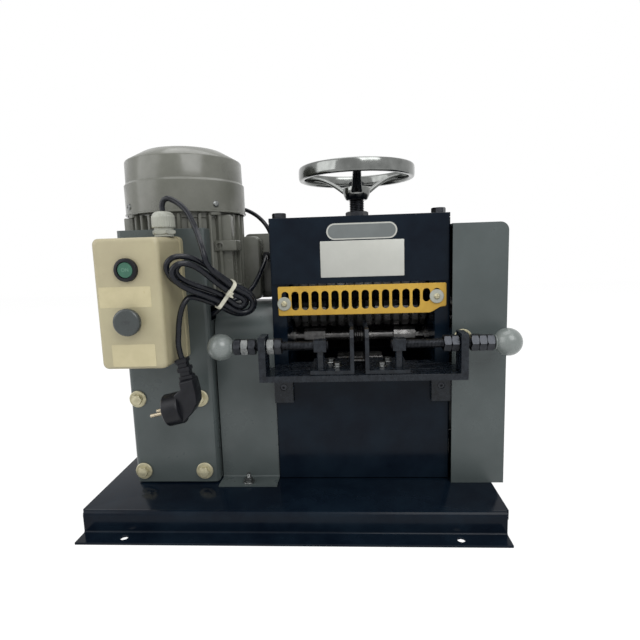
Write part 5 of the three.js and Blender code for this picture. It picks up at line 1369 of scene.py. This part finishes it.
    def pads(self, side: int, place: Point, low: float) -> None:
        """Adds two mounting pads and the strip between them at one side.

        Args:
            side: -1 for the left, 1 for the right.
            place: the foot of the motor's housing, on its axis.
            low: how high over that the pads start.
        """
        name = "left" if side < 0 else "right"
        x0, x1 = sorted((place[0] + side * self.pad_inner, place[0] + side * self.pad_outer))
        s0, s1 = sorted((place[0] + side * self.pad_inner, place[0] + side * self.strip_outer))
        y0, y1 = place[1] - self.pad_front, place[1] - self.pad_rear
        z = place[2] + low
        strip_low = (s0, place[1] - self.strip_front, z)
        strip = slab(f"motor_strip_{name}", strip_low, (s1, y1, z + self.body_height + 10), 1.5, 3)
        self.piece(strip, MOTOR_ENAMEL, "motor_paint")
        for index, high in enumerate((0, self.pad_spacing)):
            base = z + high
            corner = (x1, y1, base + self.pad_height)
            pad = slab(f"motor_pad_{name}_{index + 1}", (x0, y0, base), corner, 1.6, 3)
            hole = (place[0] + side * self.pad_hole, y0, base + self.pad_height / 2)
            bore = turned("bore", rod(3.9, -12, 2), Axis.Y, hole, 32)
            self.piece(carved(pad, [bore]), MOTOR_ENAMEL, "motor_paint")
            boss = [(4, -0.4), (4, 0.9), (5.2, 0.9), (6, 0.2), (6, -0.4), (4, -0.4)]
            ring = turned(f"motor_pad_ring_{name}_{index + 1}", boss, Axis.Y, hole, 40)
            self.piece(ring, MOTOR_ENAMEL, "motor_paint")

    def terminal_box(self) -> None:
        """Makes the rounded terminal box on its plate, and its gland."""
        low, high = self.span("terminal_box")
        start = self.centre().x + self.box_start
        corner, thick = self.box_corner, self.box_plate
        front = rounded_rectangle(start, high.x - self.box_border, low.z, high.z - thick, corner)
        box = prism("terminal_box_lid", front, -(high.y - thick - 0.2), -low.y, Axis.Y, edge=3, steps=4)
        self.piece(box, MOTOR_ENAMEL, "motor_paint", "terminal_box")
        flat = rounded_rectangle(start, high.x, low.z, high.z, corner)
        back = prism("terminal_box_plate", flat, -high.y, -(high.y - thick), Axis.Y, edge=0.8)
        self.piece(back, MOTOR_ENAMEL, "motor_paint")
        middle = self.middle("terminal_gland")
        place = (middle.x, self.span("terminal_gland")[1].y, middle.z)
        neck = turned("terminal_gland_neck", rod(6.5, 0, 10), Axis.Y, place, 40)
        self.piece(neck, BLACK_NYLON, "black_plastic", "terminal_gland")
        nut = self.hexagon("terminal_gland_nut", 7.5, 9.5, 17, Axis.Y, place)
        self.piece(nut, BLACK_NYLON, "black_plastic")

    def build(self) -> None:
        """Makes the motor and dresses the solids round it."""
        self.fan_cover()
        self.housing()
        self.terminal_box()
        self.node("motor_bracket", GREY_ENAMEL, 0.5)
        self.node("gearbox_housing", BLACK_ENAMEL, 1.0)
        self.node("motor_rotor", OILED_STEEL)
        self.node("cooling_fan", BLACK_NYLON)


@dataclass
class Bolts(Assembly):
    """The hexagon bolts and their wide washers."""

    frame: dict[str, Any]
    bracket_bolts: int = 4
    head_reach: float = 7.7
    top_head: float = 7.5

    def washered(self, name: str) -> None:
        """Makes a bolt that points to the rear, with its washer.

        Args:
            name: the bolt's solid.
        """
        low, high = self.span(name)
        place = ((low.x + high.x) / 2, low.y + self.head_reach, (low.z + high.z) / 2)
        ring = [(0, 0), (11.4, 0), (12, 0.5), (12, 1.7), (11.4, 2.2), (0, 2.2)]
        self.piece(turned(f"{name}_washer", ring, Axis.Y, place), PALE_ZINC, "zinc_steel", name)
        rib = [(9.6, 2.1), (9.9, 2.6), (11.2, 2.6), (11.5, 2.1), (9.6, 2.1)]
        self.piece(turned(f"{name}_washer_rim", rib, Axis.Y, place), PALE_ZINC, "zinc_steel")
        self.piece(self.hexagon(f"{name}_head", 7.5, 2.2, 7.2, Axis.Y, place), PALE_ZINC, "zinc_steel")
        cap = turned(f"{name}_crown", [(0, 7.1), (5.4, 7.1), (4.6, 7.5), (0, 7.7)], Axis.Y, place, 40)
        self.piece(cap, PALE_ZINC, "zinc_steel")

    def build(self) -> None:
        """Makes all the bolts."""
        for index in range(self.bracket_bolts):
            self.washered(f"bracket_bolt_{index + 1}")
        self.washered("gear_cover_bolt")
        for side in ("left", "right"):
            low, high = self.span(f"top_bolt_{side}")
            place = ((low.x + high.x) / 2, (low.y + high.y) / 2, high.z - self.top_head)
            head = self.hexagon(f"top_bolt_{side}_head", 9.8, 0, self.top_head, Axis.Z, place)
            self.piece(head, BLACKENED_STEEL, "dark_steel", f"top_bolt_{side}")


# Starter
@dataclass
class Starter(Assembly):
    """The starter box, its lid, buttons, gland and two bare label plates."""

    frame: dict[str, Any]
    corner: float = 7.0
    inner_corner: float = 4.5
    wall: float = 2.5
    draft: float = 1.6
    rounding: float = 6.0
    rounding_inset: float = 5.0
    rounding_steps: int = 6
    button_hole: float = 11.3
    lead_hole: Flat = (-162.4, 306.0)
    lead_hole_radius: float = 5.6
    letter_height: float = 6.0
    cap_face: float = 5.0
    mushroom_face: float = 15.0
    mushroom_rounding: float = 3.0
    film: float = 0.25
    grip_flutes: int = 30
    grip_radius: float = 13.6
    flute_depth: float = 0.35

    # Name, half width, low and high edge over the lid's foot, and shift to the right
    LABELS = (("plate_upper", 32, 78, 103, -4), ("plate_lower", 27, 5.5, 33, 1))

    def ring(self, y: float, inset: float, radius: float) -> list[Point]:
        """Gives a ring of the lid at a depth.

        Args:
            y: the ring's depth.
            inset: how far it lies inside the lid's edge.
            radius: its corner radius.

        Returns:
            Its corners.
        """
        low, high = self.span("starter_cover")
        flat = rounded_rectangle(low.x + inset, high.x - inset, low.z + inset, high.z - inset, radius, 7)
        return [(x, y, z) for x, z in flat]

    def lid(self) -> None:
        """Lofts the drafted lid with its rounded face, and cuts the button holes."""
        low, high = self.span("starter_cover")
        face, back, wall = low.y, high.y, self.wall
        shoulder = face + self.rounding
        rings = [self.ring(back, 0, self.corner), self.ring(shoulder, self.draft, self.corner)]
        for k in range(1, self.rounding_steps + 1):
            angle = math.pi / 2 * k / self.rounding_steps
            inset = self.draft + self.rounding_inset * (1 - math.cos(angle))
            rings.append(self.ring(shoulder - self.rounding * math.sin(angle), inset, self.corner))
        front = len(rings) - 1
        rings += [self.ring(face + wall, self.rounding_inset + wall, 3),
                  self.ring(face + 8, wall + self.draft, self.inner_corner),
                  self.ring(back, wall, self.inner_corner)]
        count = len(rings[0])
        corners = [point for ring in rings for point in ring]
        faces = []
        for row in range(len(rings)):
            if row == front:
                continue
            here, beyond = row * count, (row + 1) % len(rings) * count
            for k in range(count):
                after = (k + 1) % count
                faces.append([here + k, here + after, beyond + after, beyond + k])
        faces.append(list(range(front * count, (front + 1) * count)))
        faces.append(list(range((front + 1) * count, (front + 2) * count))[::-1])
        shell = object_of("starter_lid", mesh_from(corners, faces, Matrix.Identity(4)))
        cutters = []
        for name in ("on_button", "off_button"):
            place = (self.middle(name).x, face, self.middle(name).z)
            cutters.append(turned("hole", rod(self.button_hole, -8, 8), Axis.Y, place))
        self.piece(carved(shell, cutters), CREAM_ABS, "box_plastic", "starter_cover")

    def tray(self) -> None:
        """Makes the tray behind the lid: its back with the lead's hole, and its rim."""
        low, high = self.span("starter_box")
        wall = self.wall
        outline = rounded_rectangle(low.x, high.x, low.z, high.z, self.corner)
        hole = arc(*self.lead_hole, self.lead_hole_radius, 0, 360, 24)[:-1]
        back = plate("starter_tray_back", outline, [hole], -high.y, -(high.y - wall), Axis.Y, ORIGIN, 0.5)
        self.piece(back, CREAM_ABS, "box_plastic", "starter_box")
        inner = rounded_rectangle(low.x + wall, high.x - wall, low.z + wall, high.z - wall, self.inner_corner)
        rim = plate("starter_tray_rim", outline, [inner], -(high.y - wall), -low.y, Axis.Y, ORIGIN, 0.4)
        self.piece(rim, CREAM_ABS, "box_plastic")

    def lettering(self, text: str, place: Point, finish: Finish, body: str, slot: str) -> None:
        """Prints a word on a button.

        Args:
            text: the word.
            place: the middle of the word.
            finish: the print.
            body: the button's body.
            slot: the record's material slot.
        """
        font = bpy.data.curves.new(text, "FONT")
        font.body = text
        font.size = self.letter_height * MM
        font.extrude = 0.1 * MM
        font.align_x = "CENTER"
        font.align_y = "CENTER"
        drawn = bpy.data.objects.new(text, font)
        bpy.context.scene.collection.objects.link(drawn)
        mesh = evaluated_mesh(drawn)
        bpy.data.objects.remove(drawn)
        mesh.transform(Axis.Y.frame(place))
        self.piece(object_of(f"print_{text.lower()}", mesh), finish, slot, body=body)

    def on_button(self) -> None:
        """Makes the bezel and the green cap with its word."""
        face = self.span("starter_cover")[0].y
        on = self.middle("on_button")
        place = (on.x, face, on.z)
        bezel = [(9.9, 6), (12.4, 6), (13.6, 5.4), (14, 4.4), (14, 0.2), (10.9, 0.2), (10.9, -20), (9.9, -20),
                 (9.9, 6)]
        self.piece(turned("on_bezel", bezel, Axis.Y, place, 72), BLACK_NYLON, "black_plastic",
                   "on_button_bezel")
        cap = [(0, self.cap_face), (8.9, self.cap_face), (9.6, self.cap_face - 0.7), (9.6, -19), (0, -19)]
        self.piece(turned("on_cap", cap, Axis.Y, place, 72), GREEN_ABS, "green_plastic", "on_button",
                   body="start_button")
        word = (on.x, face - self.cap_face - 0.05, on.z)
        self.lettering("ON", word, PALE_PRINT, "start_button", "green_plastic")

    def off_button(self) -> None:
        """Makes the grey mushroom with its word."""
        face = self.span("starter_cover")[0].y
        off = self.middle("off_button")
        top, soft = self.mushroom_face, self.mushroom_rounding
        head = [(0, top), (12.5, top)]
        for k in range(1, 7):
            angle = math.radians(15 * k)
            head.append((13.5 + soft * math.sin(angle), top - soft + soft * math.cos(angle)))
        head += [(16.5, 8.6), (15.9, 8), (10.9, 8), (10.9, -24), (0, -24)]
        self.piece(turned("off_mushroom", head, Axis.Y, (off.x, face, off.z), 72), GREY_ABS, "stop_plastic",
                   "off_button", body="stop_button")
        word = (off.x, face - top - 0.05, off.z)
        self.lettering("OFF", word, DARK_PRINT, "stop_button", "stop_plastic")

    def labels(self) -> None:
        """Sticks two bare plates on the lid."""
        low, high = self.span("starter_cover")
        middle = (low.x + high.x) / 2
        for name, half, z0, z1, shift in self.LABELS:
            x = middle + shift
            outline = rounded_rectangle(x - half, x + half, low.z + z0, low.z + z1, 1.5, 5)
            self.piece(prism(name, outline, -low.y, -low.y + self.film, Axis.Y), LABEL_FILM, "box_plastic")

    def gland(self) -> None:
        """Makes the cable gland: body, faceted collar and domed nut."""
        middle = self.middle("starter_gland")
        place = (middle.x, middle.y, self.span("starter_gland")[0].z)
        neck = turned("gland_neck", rod(12, 0, 14.5), Axis.Z, place)
        self.piece(neck, WHITE_NYLON, "gland_plastic", "starter_gland")
        self.piece(self.hexagon("gland_lower_nut", 15.2, 3, 8, Axis.Z, place), WHITE_NYLON, "gland_plastic")
        sides = self.grip_flutes * 2
        levels = ((11, 0.0), (12, 0.6), (24.5, 0.6), (26.5, 0.0))
        corners = []
        for along, swell in levels:
            for k in range(sides):
                radius = self.grip_radius + swell + (self.flute_depth if k % 2 else 0)
                angle = 2 * math.pi * k / sides
                corners.append((radius * math.cos(angle), radius * math.sin(angle), along))
        faces = tube_faces(sides, len(levels) - 1)
        grip = object_of("gland_cap_grip", mesh_from(corners, faces, Axis.Z.frame(place)), 14)
        self.piece(grip, WHITE_NYLON, "gland_plastic")
        dome = [(13.2, 26.4)]
        for k in range(1, 7):
            angle = math.radians(15 * k)
            dome.append((13.2 - 8.9 * (1 - math.cos(angle)), 26.4 + 5.4 * math.sin(angle)))
        dome += [(3.8, 31.4), (3.8, 26), (13.2, 26)]
        self.piece(turned("gland_dome", dome, Axis.Z, place), WHITE_NYLON, "gland_plastic")

    def build(self) -> None:
        """Makes the starter."""
        self.lid()
        self.tray()
        self.on_button()
        self.off_button()
        self.labels()
        self.gland()


# Head
@dataclass
class Head(Assembly):
    """The boxed head: plates, covers, feed plate and bare signs."""

    frame: dict[str, Any]
    slots: int = 16
    tall_slots: int = 14
    slot_pitch: float = 13.7
    slot_start: float = 9.8
    slot_drop: float = 7.0
    slot_radius: float = 5.0
    tall_slot: float = 26.0
    short_slot: float = 18.0
    sign_shift: float = 4.0
    cover_sheet: float = 2.0
    cover_bend: float = 11.0
    foot: float = 28.0
    coupling_bend: float = 40.0
    notch_length: float = 35.0
    notch_radius: float = 5.0
    slats: int = 9
    slat_sheet: float = 1.6
    exit_left: float = -4.0
    exit_right: float = 173.0
    exit_base: float = 186.0
    exit_top: float = 318.0
    bar_height: float = 12.0
    bar_sheet: float = 2.5

    # Name, half width, lower and upper edge under the cover's top, corner, its steps, thickness and edge
    SIGNS = (("pill_plate_rim", 47, 31, 9.5, 10.7, 12, 0.4, 0.0),
             ("pill_plate", 45, 29.2, 11.3, 8.9, 12, 0.7, 0.0),
             ("head_plate", 56, 81, 32.5, 0.8, 3, 0.8, 0.2))
    SIGN_FINISHES = ((WHITE_PLATE, "motor_paint"), (GREY_PLATE, "grey_paint"), (WHITE_PLATE, "gland_plastic"))
    PLATES = (("left_side_plate", 0.7), ("right_side_plate", 0.7), ("top_plate", 0.7),
              ("head_front_cover", 0.4), ("lower_front_panel", 0.4), ("head_rear_cover", 0.4))

    def feed_plate(self) -> None:
        """Makes the yellow slotted plate and its two screws on nylon washers."""
        low, high = self.span("slot_plate")
        left, right, base, top = low.x, high.x, low.z, high.z
        outline = arc(left + 2, base + 2, 2, 180, 270, 4) + [(right - 24, base)]
        outline += arc(right - 24, base + 11, 11, -90, -60, 4)[1:] + [(right - 8, base + 7.6)]
        outline += arc(right - 3, base + 11, 3, -60, 0, 4) + arc(right - 2, top - 2, 2, 0, 90, 4)
        outline += arc(left + 2, top - 2, 2, 90, 180, 4)
        holes = []
        radius = self.slot_radius
        crown = top - self.slot_drop - radius
        for k in range(self.slots):
            u = left + self.slot_start + self.slot_pitch * k
            tall = self.tall_slot if k < self.tall_slots else self.short_slot
            foot = top - self.slot_drop - tall + radius
            holes.append(arc(u, crown, radius, 0, 180, 10) + arc(u, foot, radius, 180, 360, 10))
        yellow = plate("feed_plate", outline, holes, -high.y, -low.y, Axis.Y, ORIGIN, 0.3)
        self.piece(yellow, YELLOW_COAT, "yellow_paint", "slot_plate")
        washer = [(0, 0), (9, 0), (9.4, 0.5), (9.4, 1.6), (8.8, 2.1), (4, 2.3), (0, 2.3)]
        screw = [(0, 2.2), (4.1, 2.2), (3.9, 3.4), (2.6, 4.6), (0, 5)]
        for index, (u, v) in enumerate(((left + 8.5, top - 23.5), (right - 13, top - 18))):
            place = (u, low.y - 0.1, v)
            ring = turned(f"feed_plate_washer_{index + 1}", washer, Axis.Y, place)
            self.piece(ring, WHITE_NYLON, "gland_plastic")
            head = turned(f"feed_plate_screw_{index + 1}", screw, Axis.Y, place, 40)
            recess = cross_recess(2.6, 0.45, 3.6, 7, Axis.Y.frame(place))
            self.piece(carved(head, recess), PALE_ZINC, "zinc_steel")

    def signs(self) -> None:
        """Fixes the bare pill plate with its light rim, and the bare off-white plate."""
        low, high = self.span("head_front_cover")
        x = (low.x + high.x) / 2 + self.sign_shift
        face, z = -low.y, high.z
        for shape, (finish, slot) in zip(self.SIGNS, self.SIGN_FINISHES):
            name, half, down, up, corner, steps, sheet, edge = shape
            outline = rounded_rectangle(x - half, x + half, z - down, z - up, corner, steps)
            self.piece(prism(name, outline, face, face + sheet, Axis.Y, edge=edge), finish, slot)

    def coupling_cover(self) -> None:
        """Folds the coupling's cover, with its two feet."""
        low, high = self.span("coupling_cover")
        y0, y1 = low.y + self.foot + 1, high.y - self.foot - 1
        base, top = low.z + 1, high.z - 1
        bend = self.coupling_bend
        corners = [(low.y, base, 0), (y0, base, 3), (y0, top, bend), (y1, top, bend), (y1, base, 3),
                   (high.y, base, 0)]
        cover = folded("coupling_cover_sheet", corners, self.cover_sheet, low.x, high.x, Axis.X)
        self.piece(cover, GREY_ENAMEL, "grey_paint", "coupling_cover")

    def gear_cover(self) -> None:
        """Makes the gear cover with its rounded corner, and the notch for its bolt."""
        low, high = self.span("gear_cover")
        bend, sheet = self.cover_bend, self.cover_sheet
        middle = sheet / 2
        band = [(high.x - middle, low.z, 0), (high.x - middle, high.z - middle, bend - middle),
                (low.x, high.z - middle, 0)]
        shell = folded("gear_cover_band", band, sheet, -(high.y - 0.5), -(low.y + 0.5), Axis.Y)
        self.piece(shell, GREY_ENAMEL, "grey_paint", "gear_cover")
        height = self.middle("gear_cover_bolt").z
        reach = self.notch_radius
        end = arc(low.x + self.notch_length, height, reach, -90, 90, 10)
        notch = [(low.x, height - reach), *end, (low.x, height + reach)]
        edge = [(low.x, low.z), (high.x, low.z), *arc(high.x - bend, high.z - bend, bend, 0, 90, 12),
                (low.x, high.z)]
        front = prism("gear_cover_front", [*edge, *notch[::-1]], -(low.y + sheet), -low.y, Axis.Y)
        back = prism("gear_cover_back", edge, -high.y, -(high.y - sheet), Axis.Y)
        for shown in (front, back):
            self.piece(shown, GREY_ENAMEL, "grey_paint")

    def painted_shade_slats(self) -> None:
        """Hangs overlapping black plastic slats over the rear exit, from a clamping bar with three screws.
        The slats are painted shade: they close the exit so that the head's inside stays dark.
        """
        face = self.span("head_rear_cover")[1].y
        left, right, top = self.exit_left, self.exit_right, self.exit_top
        width = (right - left) / self.slats
        step = self.slat_sheet + 0.1
        for k in range(self.slats):
            over = k % 2
            near = face + 0.2 + step * over
            start = left + width * k
            low = (start - 1.5 * over, near, self.exit_base)
            end = (start - 1.5 * over + width + (3 if over else -0.4), near + self.slat_sheet, top)
            self.piece(slab(f"painted_shade_slat_{k + 1}", low, end, 0.3), BLACK_NYLON, "black_plastic")
        near = face + 0.3 + 2 * step
        far = near + self.bar_sheet
        bar = slab("exit_bar", (left - 4, near, top - self.bar_height), (right + 4, far, top + 1), 0.6)
        self.piece(bar, BLACK_ENAMEL, "black_paint")
        profile = [(0, 0), (4.2, 0), (3.8, 1.6), (2.2, 2.6), (0, 2.9)]
        for index, x in enumerate((left + 6, (left + right) / 2, right - 6)):
            screw = turned(f"exit_bar_screw_{index + 1}", profile, Axis.Z, ORIGIN, 32)
            screw.data.transform(Axis.Y.frame((x, far, top - 5.5)) @ Matrix.Rotation(math.pi, 4, "X"))
            self.piece(screw, ZINC_PLATE, "steel")

    def build(self) -> None:
        """Makes the head."""
        for name, edge in self.PLATES:
            self.node(name, BLACK_ENAMEL, edge)
        self.feed_plate()
        # Painted shade: black slats close the rear exit so that the head's inside stays dark
        self.painted_shade_slats()
        self.signs()
        self.coupling_cover()
        self.gear_cover()


# Rollers and gears
@dataclass
class Rollers(Assembly):
    """The four geared shafts: ground steel rollers, and the gears behind the right cover."""

    frame: dict[str, Any]

    SHAFTS = ("feed_shaft", "slitting_shaft", "slitting_blades", "grooved_shaft", "cutter_shaft",
              "cutter_blades")
    GEARS = ("drive_coupling", "feed_gear", "slitting_gear", "grooved_gear", "cutter_gear")

    def build(self) -> None:
        """Dresses the shafts, the gears and the carriage."""
        for name in self.SHAFTS:
            self.node(name, OILED_STEEL)
        for name in self.GEARS:
            self.node(name, BLACKENED_STEEL)
        self.node("roller_carriage", BLACKENED_STEEL, 0.5)


# Handwheel
@dataclass
class Handwheel(Assembly):
    """The chromed wheel on its screw, and the bush that the screw turns in."""

    frame: dict[str, Any]
    body: str = "wheel_screw"
    rim: float = 85.0
    rim_width: float = 9.0
    rim_low: float = 29.0
    rim_height: float = 18.0
    rim_steps: int = 28
    spokes: int = 3
    spoke_start: float = 15.0
    spoke_low: float = 9.5
    spoke_half: float = 8.5
    spoke_thick: float = 3.5
    spoke_steps: int = 16
    spoke_sides: int = 12
    spoke_turn: float = 30.0
    thread_radius: float = 11.0
    thread_pitch: float = 2.5
    thread_gap: float = 0.3
    tip_nut: float = 7.0
    tip_end: float = 2.0
    bush_bore: float = 11.4
    flange_height: float = 4.0

    def rim_section(self) -> list[Flat]:
        """Gives the rim's section, a circle drawn out toward a rectangle.

        Returns:
            Radius and height of each point, once round.
        """
        half_width, half_height = self.rim_width / 2, self.rim_height / 2
        section = []
        for k in range(self.rim_steps + 1):
            angle = 2 * math.pi * k / self.rim_steps
            section.append((self.rim - half_width + half_width * squared_off(math.cos(angle), 0.5),
                            self.rim_low + half_height + half_height * squared_off(math.sin(angle), 0.5)))
        return section

    def spoke(self, name: str, turn: Matrix) -> None:
        """Arches one spoke from the hub up to the rim, narrower at its middle.

        Args:
            name: the spoke's name.
            turn: from the spoke's drawing to the machine.
        """
        steps, sides = self.spoke_steps, self.spoke_sides
        length = self.rim - self.rim_width + 3 - self.spoke_start
        rise = self.rim_low + self.rim_height / 2 - self.spoke_low
        corners: list[Point] = []
        for k in range(steps + 1):
            share = k / steps
            radius = self.spoke_start + length * share
            z = self.spoke_low + rise * math.sin(share * math.pi / 2)
            swell = math.sin(math.pi * share)
            half = self.spoke_half * (1 - 0.25 * share) * (1 - 0.18 * swell)
            thick = self.spoke_thick - 0.6 * swell
            for j in range(sides):
                angle = 2 * math.pi * j / sides
                corners.append((radius, half * squared_off(math.cos(angle), 0.6),
                                z + thick * squared_off(math.sin(angle), 0.6)))
        shown = object_of(name, mesh_from(corners, tube_faces(sides, steps), turn), 60)
        self.piece(shown, CHROME, "chrome")

    def wheel(self) -> None:
        """Turns the rim and the hub, and sets the spokes between them."""
        centre = self.middle("screw_bush")
        place = (centre.x, centre.y, self.span("handwheel")[0].z)
        self.piece(turned("wheel_rim", self.rim_section(), Axis.Z, place, 128), CHROME, "chrome", "handwheel")
        hub = [(8.3, 0), (14.5, 0), (16, 1), (18.5, 6), (20, 10), (20, 17), (18.6, 18.8), (13, 19),
               (12.4, 18.2), (8.3, 18.2), (8.3, 0)]
        self.piece(turned("wheel_hub", hub, Axis.Z, place, 80), CHROME, "chrome")
        for index in range(self.spokes):
            angle = math.radians(self.spoke_turn + 360 / self.spokes * index)
            self.spoke(f"wheel_spoke_{index + 1}", about_upright(place, angle))

    def screw(self) -> None:
        """Makes the thread, the plain necks and the tip nut of the adjusting screw."""
        low, high = self.span("adjusting_screw")
        centre = self.middle("screw_bush")
        place = (centre.x, centre.y, 0)
        nut_low = high.z - self.tip_end - self.tip_nut
        nut_high = high.z - self.tip_end
        neck = [(0, low.z), (10.5, low.z), (10.5, low.z + 4), (8, low.z + 4), (8, nut_low), (0, nut_low)]
        self.piece(turned("screw_neck", neck, Axis.Z, place, 40), BLACKENED_STEEL, "dark_steel",
                   "adjusting_screw")
        thread_low = self.span("roller_carriage")[1].z + self.thread_gap
        thread_high = self.span("handwheel")[0].z - self.thread_gap
        thread = threaded("screw_thread", self.thread_radius, self.thread_pitch, thread_low, thread_high,
                          Axis.Z, place)
        self.piece(thread, BLACKENED_STEEL, "dark_steel")
        tip = self.hexagon("screw_tip_nut", 11, nut_low, nut_high, Axis.Z, place)
        self.piece(tip, BLACKENED_STEEL, "dark_steel")
        end = [(0, nut_high), (7, nut_high), (7, high.z - 0.8), (6.2, high.z), (0, high.z)]
        self.piece(turned("screw_end", end, Axis.Z, place, 40), BLACKENED_STEEL, "dark_steel")

    def bush(self) -> None:
        """Makes the flanged bush on the top plate."""
        centre = self.middle("screw_bush")
        place = (centre.x, centre.y, self.span("screw_bush")[0].z)
        bore, height = self.bush_bore, self.flange_height
        flange = [*disc(21, 0, height, 0.8, bore), (bore, 0)]
        self.piece(turned("bush_flange", flange, Axis.Z, place), BLACKENED_STEEL, "dark_steel", "screw_bush",
                   body="frame")
        nut = self.hexagon("bush_nut", 17, height, height + 7, Axis.Z, place)
        hole = turned("bore", rod(bore, height - 2, height + 9), Axis.Z, place)
        self.piece(carved(nut, [hole]), BLACKENED_STEEL, "dark_steel", body="frame")

    def build(self) -> None:
        """Makes the wheel, the screw and the bush."""
        self.wheel()
        self.screw()
        self.bush()


# Guides
@dataclass
class Guides(Assembly):
    """The guide table, its two guides, and the lead screws with their nuts and ball knobs."""

    frame: dict[str, Any]
    lead_radius: float = 6.0
    lead_pitch: float = 1.75
    nut_radius: float = 11.0
    nut_thickness: float = 9.0
    nut_step: float = 9.6
    nut_gap: float = 5.0
    lug_outer: float = 131.0
    lug_inner: float = 122.0
    knob_radius: float = 17.5
    knob_centre: float = 16.7
    knob_steps: int = 32
    knob_sweep: float = 150.0
    guide_shift: float = -3.0
    clamp_start: float = 29.0
    clamp_step: float = 9.0
    tab_reach: float = 108.0
    tab_height: float = 22.0
    tab_sheet: float = 8.0
    tab_gap: float = 0.3

    def nuts(self, name: str, side: int, place: Point) -> None:
        """Puts three nuts outside the table's lug, and two inside it.

        Args:
            name: left or right.
            side: -1 for the left, 1 for the right.
            place: a point of the screw's axis.
        """
        middle = self.middle("guide_table").x
        outer = middle + side * self.lug_outer
        inner = middle + side * self.lug_inner
        starts = [outer + side * (self.nut_gap + self.nut_step * k) for k in range(3)]
        starts += [inner - side * (1 + self.nut_thickness + self.nut_step * k) for k in range(2)]
        for index, start in enumerate(starts):
            near, far = sorted((start, start + side * self.nut_thickness))
            nut = self.hexagon(f"{name}_nut_{index + 1}", self.nut_radius, near, far, Axis.X, place)
            finish = ZINC_PLATE if side < 0 and index in (1, 3) else BLACKENED_STEEL
            self.piece(nut, finish, "dark_steel", body=f"{name}_screw")

    def lead_screw(self, name: str, side: int) -> None:
        """Makes one lead screw with its nuts, and the ball knob at its end.

        Args:
            name: left or right.
            side: -1 for the left, 1 for the right.
        """
        body = f"{name}_screw"
        low, high = self.span(f"{name}_lead_screw")
        centre = self.middle(f"{name}_lead_screw")
        place = (0, centre.y, centre.z)
        thread = threaded(f"{name}_thread", self.lead_radius, self.lead_pitch, low.x, high.x, Axis.X, place)
        self.piece(thread, BLACKENED_STEEL, "dark_steel", f"{name}_lead_screw", body=body)
        self.nuts(name, side, place)
        knob_low, knob_high = self.span(f"{name}_ball_knob")
        near = knob_low.x if side > 0 else knob_high.x
        ball = []
        for k in range(self.knob_steps + 1):
            angle = math.radians(self.knob_sweep - self.knob_sweep * k / self.knob_steps)
            reach = self.knob_centre + self.knob_radius * math.cos(angle)
            ball.append((self.knob_radius * math.sin(angle), near + side * reach))
        neck = [(6.4, near + side * 12), (6.4, near), (8.2, near), (9, near + side * 0.8),
                (8.8, near + side * 2)]
        self.piece(turned(f"{name}_knob", [*neck, *ball], Axis.X, place, 72), PHENOLIC, "grey_bakelite",
                   f"{name}_ball_knob", body=body)

    def guide_screws(self, name: str, side: int) -> None:
        """Adds the two clamping screws on a guide's foot.

        Args:
            name: left or right.
            side: -1 for the left, 1 for the right.
        """
        low, _ = self.span(f"{name}_guide")
        middle = self.middle("guide_table").x + self.guide_shift
        for index, y in enumerate((low.y + 24, low.y + 49)):
            place = (middle + side * (self.clamp_start + self.clamp_step * index), y, low.z + 5)
            washer = turned(f"{name}_clamp_washer_{index + 1}", disc(7.4, 0, 1.4, 0.4), Axis.Z, place, 40)
            head = self.hexagon(f"{name}_clamp_screw_{index + 1}", 5.8, 1.4, 5.6, Axis.Z, place)
            for shown in (washer, head):
                self.piece(shown, ZINC_PLATE, "steel", body=f"{name}_guide")

    def tab_screws(self) -> None:
        """Adds the socket screws that hold the table's tabs to the side plates."""
        table = self.span("guide_table")[0].z
        middle = self.middle("guide_table").x
        face = self.span("lower_front_panel")[0].y - self.tab_gap - self.tab_sheet
        profile = [(0, -7), (4.6, -7), (4.6, -1), (4.2, -0.6), (0, -0.6)]
        for index, side in enumerate((-1, 1)):
            place = (middle + side * self.tab_reach, face, table + self.tab_height)
            head = turned(f"tab_screw_{index + 1}", profile, Axis.Y, place, 40)
            socket = turned("socket", rod(2.3, -4, 1), Axis.Y, place, hexagon=True)
            self.piece(carved(head, [socket]), BLACKENED_STEEL, "dark_steel")

    def build(self) -> None:
        """Makes the table and both guides."""
        self.node("guide_table", WORN_ENAMEL, 0.6)
        for name, side in (("left", -1), ("right", 1)):
            self.node(f"{name}_guide", WORN_ENAMEL, 0.5)
            self.lead_screw(name, side)
            self.guide_screws(name, side)
        self.tab_screws()


def main() -> None:
    """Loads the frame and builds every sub-assembly in order."""
    logging.basicConfig(level=logging.INFO, format="%(name)s: %(message)s")
    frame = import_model()
    Studio().build()
    for assembly in (Cords, Base, Motor, Bolts, Starter, Head, Rollers, Handwheel, Guides):
        log.info("assembly %s", assembly.__name__)
        assembly(frame).build()


if __name__ == "__main__":
    main()
